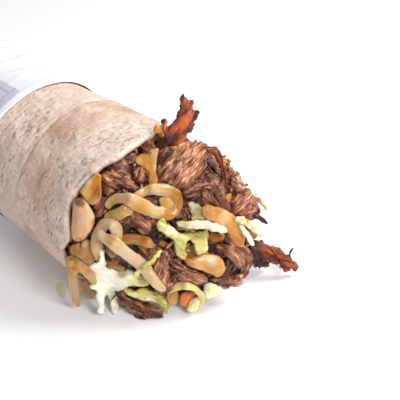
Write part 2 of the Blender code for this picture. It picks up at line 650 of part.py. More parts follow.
def centre_on_floor(objects):
    """Moves the whole wrap so that the middle of its box is over the origin and its foot at height 0."""
    points = [v.co for o in objects for v in o.data.vertices]
    low = Vector(min(p[k] for p in points) for k in range(3))
    high = Vector(max(p[k] for p in points) for k in range(3))
    shift = Vector((-(low.x + high.x) / 2, -(low.y + high.y) / 2, -low.z))
    for o in objects:
        for v in o.data.vertices:
            v.co += shift
    return shift


def main():
    """Makes the whole wrap, and gives how far it was moved to stand centred on the origin."""
    placed.clear()
    random.seed(SEED)
    for o in list(bpy.data.objects):
        bpy.data.objects.remove(o)
    bread = make_bread()
    paper = make_paper()
    placed.append(make_core())
    front = Sheet(**FRONT_SHEET)
    for slab in HEAP_SLABS:
        add_slab(front, *slab)
    for ribbon in FIRST_RIBBONS:
        add_ribbon(front, *ribbon)
    placed.append(bread)
    for slab in LAID_SLABS:
        add_slab(front, *slab)
    for ribbon in TOP_RIBBONS:
        add_ribbon(front, *ribbon)
    side = Sheet(**SIDE_SHEET)
    for slab in SIDE_SLABS:
        add_slab(side, *slab)
    for ribbon in SIDE_RIBBONS:
        add_ribbon(side, *ribbon)
    return centre_on_floor([*placed, paper])


main()
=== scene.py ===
"""The looks of a doner kebab wrap: floury rolled flatbread in a paper sleeve, torn meat, onion and cabbage.

Metres, +Z up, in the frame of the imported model. Shapes are made in the roll's own frame, whose X is 0 at
the mouth, and moved home at the end.
"""

import bisect
import itertools
import math
import random

import bmesh
import bpy
import numpy as np
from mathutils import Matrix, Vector, geometry, noise
from mathutils.bvhtree import BVHTree


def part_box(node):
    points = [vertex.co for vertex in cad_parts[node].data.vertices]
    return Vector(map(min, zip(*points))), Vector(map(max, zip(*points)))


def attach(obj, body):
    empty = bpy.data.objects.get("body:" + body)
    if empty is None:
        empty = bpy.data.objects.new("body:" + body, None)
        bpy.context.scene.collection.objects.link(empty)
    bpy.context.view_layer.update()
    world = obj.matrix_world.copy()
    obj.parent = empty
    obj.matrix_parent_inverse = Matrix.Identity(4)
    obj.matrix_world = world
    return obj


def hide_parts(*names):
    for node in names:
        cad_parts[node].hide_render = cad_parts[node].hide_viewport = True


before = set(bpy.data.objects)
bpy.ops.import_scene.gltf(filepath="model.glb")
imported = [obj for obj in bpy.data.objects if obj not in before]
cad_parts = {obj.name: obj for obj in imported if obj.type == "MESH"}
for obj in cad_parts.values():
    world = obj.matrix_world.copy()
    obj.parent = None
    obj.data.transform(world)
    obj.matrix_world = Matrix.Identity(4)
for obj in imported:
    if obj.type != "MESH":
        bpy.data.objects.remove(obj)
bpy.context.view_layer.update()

MM = 0.001
SEED, SEED_RANGE = 7, 97
# Large odd numbers that spread the random values of the noise.
HASH_X, HASH_Y, HASH_Z, HASH_MIX = 73856093, 19349663, 83492791, 1274126177
HASH_SEED, HASH_START = 2654435, 97
FLOOR_GAP = 0.03 * MM

# The roll, as in the model.
AXIS_HEIGHT = 31.8 * MM
ROLL_RADIUS = {-0.200: 31.4 * MM, -0.041: 31.4 * MM, 0.0: 32.7 * MM, 0.020: 33.3 * MM}
ROLL_WIDENING = 1.015
BREAD_WALL = 2.2 * MM
LAYER_STEP = 1.5 * MM
LAYER_EDGE_DEG = 14
MOUTH_REACH = {
    -10: 9 * MM, 30: 8 * MM, 62: 10.5 * MM, 80: 18 * MM, 102: 20.7 * MM, 130: 16.2 * MM,
    147: 13.3 * MM, 170: 15 * MM, 193: 10 * MM, 260: 8 * MM,
}
FARTHEST_REACH = 20.634 * MM
BREAD_ASIDE = 0.026 * MM
PAPER_FRONT = -41 * MM
PAPER_BACK = -141 * MM
PAPER_GAP = 0.3 * MM
PAPER_THICKNESS = 0.7 * MM
PAPER_STEP_START, PAPER_STEP_LENGTH = -36 * MM, 4 * MM
SKIN_SWELL, SWELL_AROUND, SWELL_ALONG = 0.7 * MM, 1.3, 28

# The layout sheet that faces the camera, as in the model.
SHEET_UNIT = 0.3889 * MM
FRONT_SHEET = {
    "azimuth": 45, "elevation": 36, "distance": 311 * MM, "aside": 33.8 * MM, "above": -3.1 * MM,
    "centre": (0, 0, 32.5 * MM), "corner": (113, 192),
}
SIDE_SHEET = {
    "azimuth": 165, "elevation": 20, "distance": 300 * MM, "aside": 0, "above": 0,
    "centre": (24 * MM, 34 * MM, 28 * MM), "corner": (0, 0),
}
LENS, SENSOR = 72, 36

BREAD_LOW, BREAD_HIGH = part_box("flatbread")
HOME = Vector((BREAD_HIGH.x - FARTHEST_REACH, (BREAD_LOW.y + BREAD_HIGH.y) / 2 + BREAD_ASIDE, 0))


def srgb(red, green, blue):
    """A linear colour from one as it looks on a screen, 0 to 255."""
    return tuple((c / 255) ** 2.2 for c in (red, green, blue))


def value_noise(points, seed=0):
    """Smooth noise between -1 and 1 at each row of points, with features one unit across."""
    base = np.floor(points).astype(np.int64)
    near = points - base
    ease = near * near * (3 - 2 * near)
    total = np.zeros(len(points))
    for corner in itertools.product((0, 1), repeat=3):
        x, y, z = (base + np.array(corner)).T
        mixed = x * HASH_X ^ y * HASH_Y ^ z * HASH_Z ^ (seed * HASH_SEED + HASH_START)
        mixed = (mixed ^ (mixed >> 13)) * HASH_MIX & 0x7FFFFFFF
        mixed = (mixed ^ (mixed >> 16)) & 0xFFFF
        weight = np.prod(np.where(np.array(corner) == 1, ease, 1 - ease), axis=1)
        total += (mixed / 32768 - 1) * weight
    return total


def rough_noise(points, seed=0, layers=3):
    """Noise with finer layers on it, each half as strong and twice as fine."""
    return sum(value_noise(points * 2**i, seed + i) / 2**i for i in range(layers))


def between(table, value, eased=False):
    """The value of a table of positions and sizes, straight or eased between its entries."""
    keys = sorted(table)
    i = min(max(bisect.bisect(keys, value), 1), len(keys) - 1)
    low, high = keys[i - 1], keys[i]
    share = min(max((value - low) / (high - low), 0), 1)
    if eased:
        share = share * share * (3 - 2 * share)
    return table[low] + (table[high] - table[low]) * share


def mouth_reach(degrees):
    """How far forward the bread's edge is at an angle round the roll."""
    first = min(MOUTH_REACH)
    around = {**MOUTH_REACH, first + 360: MOUTH_REACH[first]}
    return between(around, (degrees - first) % 360 + first, eased=True)


def roll_point(degrees, x, out, closing=1.0):
    """A point on the roll's skin, or out from it by that much, pressed flat where it lies on the table."""
    angle = math.radians(degrees)
    turn = ((degrees - LAYER_EDGE_DEG) % 360) / 360
    around = (math.cos(angle) * SWELL_AROUND, math.sin(angle) * SWELL_AROUND)
    swell = noise.noise(Vector((*around, x * SWELL_ALONG)))
    radius = between(ROLL_RADIUS, x) + LAYER_STEP * (turn - 0.5) + SKIN_SWELL * swell
    radius = (radius + out) * closing
    z = AXIS_HEIGHT + radius * math.sin(angle)
    rise = min(max((PAPER_STEP_START - x) / PAPER_STEP_LENGTH, 0), 1)
    floor = rise * (PAPER_GAP + PAPER_THICKNESS)
    return (x, radius * ROLL_WIDENING * math.cos(angle), max(z, floor - out))


def direction(azimuth, elevation):
    """The way to an eye or a light at those angles in degrees."""
    a, e = math.radians(azimuth), math.radians(elevation)
    return Vector((math.sin(a) * math.cos(e), -math.cos(a) * math.cos(e), math.sin(e)))


def stray(rng, spread):
    """A random vector around nothing."""
    return Vector([rng.gauss(0, spread) for _ in range(3)])


def leaning(normal, rng):
    """A random way along a surface."""
    return normal.cross(stray(rng, 1)).normalized()


def sizes(rng, ranges):
    """Random sizes within ranges in mm."""
    return [rng.uniform(low, high) * MM for low, high in ranges]


def name_number(name):
    """A number from a name, to seed its noise."""
    return sum(ord(c) for c in name)


def ring_turns(count):
    """Angles spread evenly round a ring."""
    return np.arange(count) * 2 * math.pi / count


class Sheet:
    """A layout sheet that faces an eye point: it turns drawn points into places on the heap."""

    def __init__(self, azimuth, elevation, distance, aside, above, centre, corner):
        turn = math.radians(azimuth)
        self.back = direction(azimuth, elevation)
        self.right = Vector((math.cos(turn), math.sin(turn), 0))
        self.up = self.back.cross(self.right)
        self.centre, self.corner, self.distance = Vector(centre), corner, distance
        self.eye = self.centre + self.back * distance + self.right * aside + self.up * above

    def place(self, right, down, height):
        """The point at that height towards the eye above the sheet, on the sight line of a drawn point."""
        drawn = self.centre + self.right * (right - self.corner[0]) * SHEET_UNIT
        drawn -= self.up * (down - self.corner[1]) * SHEET_UNIT
        return self.eye + (drawn - self.eye) * (1 - height / self.distance)

    def height(self, point):
        """How far a point is from the sheet, towards the eye."""
        return self.distance - (self.eye - point).dot(self.back)

    def sight(self, point):
        """The way from the eye to a drawn point."""
        return (self.place(point[0], point[1], 0) - self.eye).normalized()

    def way(self, degrees):
        """The way on the sheet at an angle from its right."""
        angle = math.radians(degrees)
        return self.right * math.cos(angle) + self.up * math.sin(angle)


FRONT, SIDE = Sheet(**FRONT_SHEET), Sheet(**SIDE_SHEET)


def node_mesh(*names):
    """Points, in the roll's own frame, and faces of some of the model's nodes."""
    points, faces = [], []
    for name in names:
        start = len(points)
        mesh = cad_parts[name].data
        points += [v.co - HOME for v in mesh.vertices]
        faces += [[start + i for i in p.vertices] for p in mesh.polygons]
    return points, faces


def node_tree(*names):
    """A search tree over some of the model's nodes, in the roll's own frame."""
    return BVHTree.FromPolygons(*node_mesh(*names))


def new_object(name, data):
    """A new object in the scene."""
    made = bpy.data.objects.new(name, data)
    bpy.context.scene.collection.objects.link(made)
    return made


class Build:
    """Points, faces and painted values of one piece, gathered from many parts."""

    def __init__(self):
        self.points, self.faces, self.grain, self.tint = [], [], [], []
        self.count = 0

    def add(self, points, faces, grain, tint):
        """Adds a part: grain is each point's place along and across the fibre in mm, tint its paint."""
        points = np.asarray(points, float)
        self.points.append(points)
        self.faces += [[i + self.count for i in face] for face in faces]
        self.grain.append(np.broadcast_to(np.asarray(grain, float), points.shape))
        self.tint.append(np.broadcast_to(np.asarray(tint, float), points.shape))
        self.count += len(points)

    def add_tube(self, points, sides, grain, tint):
        """Adds a tube that is closed at both ends, from the points of its rings."""
        points, grain = np.reshape(points, (-1, 3)), np.reshape(grain, (-1, 3))
        tint = np.broadcast_to(np.reshape(tint, (-1, 3)), points.shape)
        ends = [points[:sides].mean(0), points[-sides:].mean(0)]
        capped = [np.vstack([values, values[0], values[-1]]) for values in (grain, tint)]
        self.add(np.vstack([points, *ends]), tube_faces(len(points) // sides, sides), *capped)

    def piece(self, name, finish, replaced=()):
        """The finished piece, at home in the model's frame."""
        points = np.concatenate(self.points)
        points[:, 2] = np.maximum(points[:, 2], FLOOR_GAP)
        mesh = bpy.data.meshes.new(name)
        mesh.from_pydata((points + np.array(HOME)).tolist(), [], self.faces)
        for label, parts in (("grain", self.grain), ("tint", self.tint)):
            layer = mesh.attributes.new(label, "FLOAT_VECTOR", "POINT")
            layer.data.foreach_set("vector", np.clip(np.concatenate(parts), -9999, 9999).ravel())
        mesh.shade_smooth()
        mesh.materials.append(MATERIALS[finish])
        made = new_object(name, mesh)
        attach(made, "root")
        if replaced:
            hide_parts(*replaced)
        return made


def grid_faces(rows, columns, closed=False):
    """Faces of a grid of points, row by row, joined round if it is closed."""
    i, j = np.meshgrid(np.arange(rows - 1), np.arange(columns if closed else columns - 1), indexing="ij")
    k = (j + 1) % columns
    quads = np.stack([i * columns + j, i * columns + k, (i + 1) * columns + k, (i + 1) * columns + j], -1)
    return quads.reshape(-1, 4).tolist()


def tube_faces(rings, around):
    """Faces of a closed tube of rings, whose two end points come after all the rings."""
    last, n = (rings - 1) * around, rings * around
    faces = grid_faces(rings, around, closed=True)
    faces += [[(j + 1) % around, j, n] for j in range(around)]
    faces += [[last + j, last + (j + 1) % around, n + 1] for j in range(around)]
    return faces


class Paint:
    """The nodes of one material, wired up by short calls, with the colour that they give so far."""

    def __init__(self, name, **values):
        self.material = bpy.data.materials.new(name)
        self.material.use_nodes = True
        self.tree = self.material.node_tree
        self.shader = self.tree.nodes["Principled BSDF"]
        self.colour = None
        for label, value in values.items():
            self.shader.inputs[label.replace("_", " ")].default_value = value

    def node(self, kind, settings=(), **inputs):
        """A new node with its settings and inputs."""
        made = self.tree.nodes.new(kind)
        for label, value in dict(settings).items():
            setattr(made, label, value)
        for label, value in inputs.items():
            self.feed(made.inputs[label.replace("_", " ")], value)
        return made

    def feed(self, socket, value):
        """Links or sets an input."""
        if isinstance(value, bpy.types.NodeSocket):
            self.tree.links.new(value, socket)
        elif isinstance(value, tuple) and len(value) == 3 and socket.type == "RGBA":
            socket.default_value = (*value, 1)
        else:
            socket.default_value = value

    def tints(self):
        """The three painted values of the piece."""
        found = self.node("ShaderNodeAttribute", {"attribute_name": "tint"}).outputs["Vector"]
        return self.node("ShaderNodeSeparateXYZ", Vector=found).outputs[:3]

    def noise(self, stretch, detail=3.0, roughness=0.55, distortion=0.0):
        """Noise over the grain places of the piece, stretched along each axis."""
        found = self.node("ShaderNodeAttribute", {"attribute_name": "grain"}).outputs["Vector"]
        vector = self.node("ShaderNodeMapping", Vector=found, Scale=stretch).outputs["Vector"]
        return self.node(
            "ShaderNodeTexNoise", Vector=vector, Scale=1.0, Detail=detail, Roughness=roughness,
            Distortion=distortion,
        ).outputs["Fac"]

    def step(self, value, low, high):
        """0 below low and 1 above high, smooth between."""
        made = self.node("ShaderNodeMapRange", {"interpolation_type": "SMOOTHSTEP"}, Value=value)
        made.inputs["From Min"].default_value = low
        made.inputs["From Max"].default_value = high
        return made.outputs["Result"]

    def math(self, operation, a, b):
        """One sum or product."""
        made = self.node("ShaderNodeMath", {"operation": operation})
        self.feed(made.inputs[0], a)
        self.feed(made.inputs[1], b)
        return made.outputs[0]

    def mix(self, share, a, b):
        """A colour between two screen colours."""
        made = self.node("ShaderNodeMix", {"data_type": "RGBA"})
        for number, value in ((0, share), (6, a), (7, b)):
            self.feed(made.inputs[number], srgb(*value) if isinstance(value, tuple) else value)
        self.colour = made.outputs[2]

    def over(self, colour, share, strength=1):
        """Lays a screen colour over the colour so far, as strongly as a share of a strength says."""
        share = share if strength == 1 else self.math("MULTIPLY", share, strength)
        self.mix(share, self.colour, colour)

    def bump(self, height, strength, distance):
        """Relief finer than the mesh."""
        made = self.node("ShaderNodeBump", Height=height, Strength=strength, Distance=distance)
        self.feed(self.shader.inputs["Normal"], made.outputs["Normal"])

    def finish(self):
        """The material, with the colour so far."""
        self.feed(self.shader.inputs["Base Color"], self.colour)
        return self.material


def even(stretch):
    """The same stretch along each axis."""
    return (stretch, stretch, stretch)


def bread_material():
    """Toasted flatbread: tints are pits, browning and flour."""
    p = Paint("bread_crust", Roughness=0.85, Subsurface_Weight=0.12, Subsurface_Scale=0.003,
              Subsurface_Radius=(1.0, 0.6, 0.4))
    pits, brown, flour = p.tints()
    blotch = p.noise(even(0.09), detail=5, roughness=0.6, distortion=0.6)
    fine = p.noise(even(1.1), detail=4, roughness=0.7)
    streak = p.noise((0.5, 1.3, 0.5), detail=4, roughness=0.7, distortion=0.4)
    speck = p.step(p.noise(even(0.8), detail=2), 0.66, 0.74)
    p.mix(p.step(blotch, 0.3, 0.7), (217, 189, 171), (232, 211, 196))
    p.over((196, 151, 126), brown, 0.9)
    p.over((232, 219, 209), p.step(fine, 0.35, 0.75), p.math("MULTIPLY", flour, 0.7))
    p.over((176, 146, 128), p.step(streak, 0.5, 0.68), 0.55)
    p.over((244, 233, 222), p.step(streak, 0.46, 0.32), 0.45)
    p.over((140, 112, 96), pits, 0.55)
    p.over((146, 112, 90), speck, 0.3)
    p.bump(p.noise(even(1.6), detail=5, roughness=0.65), 0.5, 0.0006)
    return p.finish()


def paper_material():
    """Smooth white paper: tints are print, its stripes, and folds."""
    p = Paint("white_paper", Roughness=0.55, Subsurface_Weight=0.1, Subsurface_Scale=0.002)
    print_area, stripes, fold = p.tints()
    p.mix(p.noise(even(0.04), detail=2), (229, 225, 235), (234, 228, 232))
    p.over((192, 184, 200), print_area, 0.9)
    p.over((150, 154, 178), stripes, 0.8)
    p.over((226, 220, 228), fold, 0.25)
    p.bump(p.noise(even(0.9), detail=4), 0.12, 0.0003)
    return p.finish()


def meat_material():
    """Roast meat: tints are lightness, partly painted highlight on rises, char, partly painted shade in
    hollows, undersides and the heap's gaps, and redness.
    """
    p = Paint("roast_meat", Roughness=0.4, Subsurface_Weight=0.12, Subsurface_Scale=0.0025,
              Subsurface_Radius=(1.0, 0.35, 0.2), Coat_Weight=0.22, Coat_Roughness=0.2,
              Specular_IOR_Level=0.35)
    light, char_and_shade, red = p.tints()
    fibre = p.noise((0.30, 1.5, 1.5), detail=4, roughness=0.6, distortion=0.5)
    patch = p.noise((0.16, 0.25, 0.25))
    p.mix(light, (84, 32, 16), (202, 130, 88))
    p.over((122, 66, 44), p.step(patch, 0.5, 0.7), 0.5)
    p.over((160, 80, 50), red, 0.6)
    # Painted highlights: pale colour on the ridges of the fibre noise, strongest where the meat is light.
    ridge_highlight_strength = p.math("ADD", p.math("MULTIPLY", light, 0.8), 0.1)
    p.over((242, 196, 156), p.step(fibre, 0.48, 0.66), ridge_highlight_strength)
    # Painted shade: dark colour in the grooves of the fibre noise.
    p.over((62, 18, 8), p.step(fibre, 0.49, 0.36), 0.8)
    # Char, and the painted shade that the char tint carries.
    p.over((44, 20, 12), char_and_shade, 0.92)
    p.bump(fibre, 0.9, 0.0009)
    return p.finish()


def crisp_material():
    """Crisp meat edge, dark red-brown and glassy with fat: tints are lightness, partly painted highlight on
    rises, char, partly painted shade in the hollows of the relief, and redness.
    """
    p = Paint("crisp_edge", Roughness=0.35, Coat_Weight=0.15, Coat_Roughness=0.15, Specular_IOR_Level=0.35,
              Subsurface_Weight=0.15, Subsurface_Scale=0.003, Subsurface_Radius=(1.0, 0.25, 0.1))
    light, char_and_shade, _ = p.tints()
    fibre = p.noise((0.5, 2.2, 2.2), detail=4, roughness=0.65, distortion=0.8)
    p.mix(p.step(fibre, 0.3, 0.7), (62, 14, 6), (136, 46, 18))
    p.over((196, 96, 40), light)
    # Char, and painted shade in the hollows of the relief.
    p.over((46, 16, 10), char_and_shade)
    p.bump(fibre, 0.8, 0.0008)
    return p.finish()


def onion_material():
    """Soft fried onion, see-through amber with darker veins: tints are amber, char, which on small bits is
    partly painted shade on their undersides and in their dips, and paleness.
    """
    p = Paint("fried_onion", Roughness=0.25, Coat_Weight=0.4, Coat_Roughness=0.1, Transmission_Weight=0.3,
              Subsurface_Weight=0.5, Subsurface_Scale=0.004, Subsurface_Radius=(1.0, 0.55, 0.25), IOR=1.38)
    amber, char_and_shade, pale = p.tints()
    veins = p.noise((0.12, 2.2, 1.0), roughness=0.6, distortion=0.2)
    cloud = p.noise((0.15, 0.4, 0.4))
    p.mix(amber, (240, 188, 98), (218, 138, 34))
    p.over((246, 200, 164), pale, 0.9)
    p.over((190, 118, 58), p.step(veins, 0.52, 0.7), 0.35)
    p.over((252, 222, 158), p.step(veins, 0.45, 0.3), 0.45)
    p.over((214, 140, 104), p.step(cloud, 0.55, 0.75), 0.35)
    # Char, and painted shade on the undersides and in the dips of small bits.
    p.over((112, 56, 26), char_and_shade, 0.8)
    p.bump(veins, 0.6, 0.0006)
    return p.finish()


def cabbage_material():
    """Fresh cabbage, white rib to green edge: tints are green, yellow and shade."""
    p = Paint("cabbage_leaf", Roughness=0.35, Coat_Weight=0.3, Coat_Roughness=0.2, Specular_IOR_Level=0.35,
              Subsurface_Weight=0.4, Subsurface_Scale=0.003, Subsurface_Radius=(0.9, 1.0, 0.5))
    green, yellow, shade = p.tints()
    veins = p.noise((0.25, 1.3, 1.3), distortion=0.6)
    p.mix(yellow, (251, 246, 222), (236, 206, 66))
    p.over((148, 142, 0), green, p.math("ADD", p.step(veins, 0.3, 0.6), 0.35))
    # Cream along the veins: partly the veins' own colour, partly painted shade in their folds.
    p.over((222, 214, 158), p.step(veins, 0.5, 0.72), 0.5)
    p.over((198, 176, 120), shade, 0.6)
    p.bump(veins, 0.8, 0.0008)
    return p.finish()


def carrot_material():
    """Raw carrot."""
    p = Paint("carrot_flesh", Roughness=0.35, Coat_Weight=0.3, Subsurface_Weight=0.3, Subsurface_Scale=0.003)
    rings = p.noise((0.4, 1.6, 1.6))
    p.bump(rings, 0.3, 0.0003)
    p.mix(rings, (206, 96, 36), (232, 142, 76))
    return p.finish()


MATERIALS = {
    "bread": bread_material(), "paper": paper_material(), "meat": meat_material(), "crisp": crisp_material(),
    "onion": onion_material(), "cabbage": cabbage_material(), "carrot": carrot_material(),
}

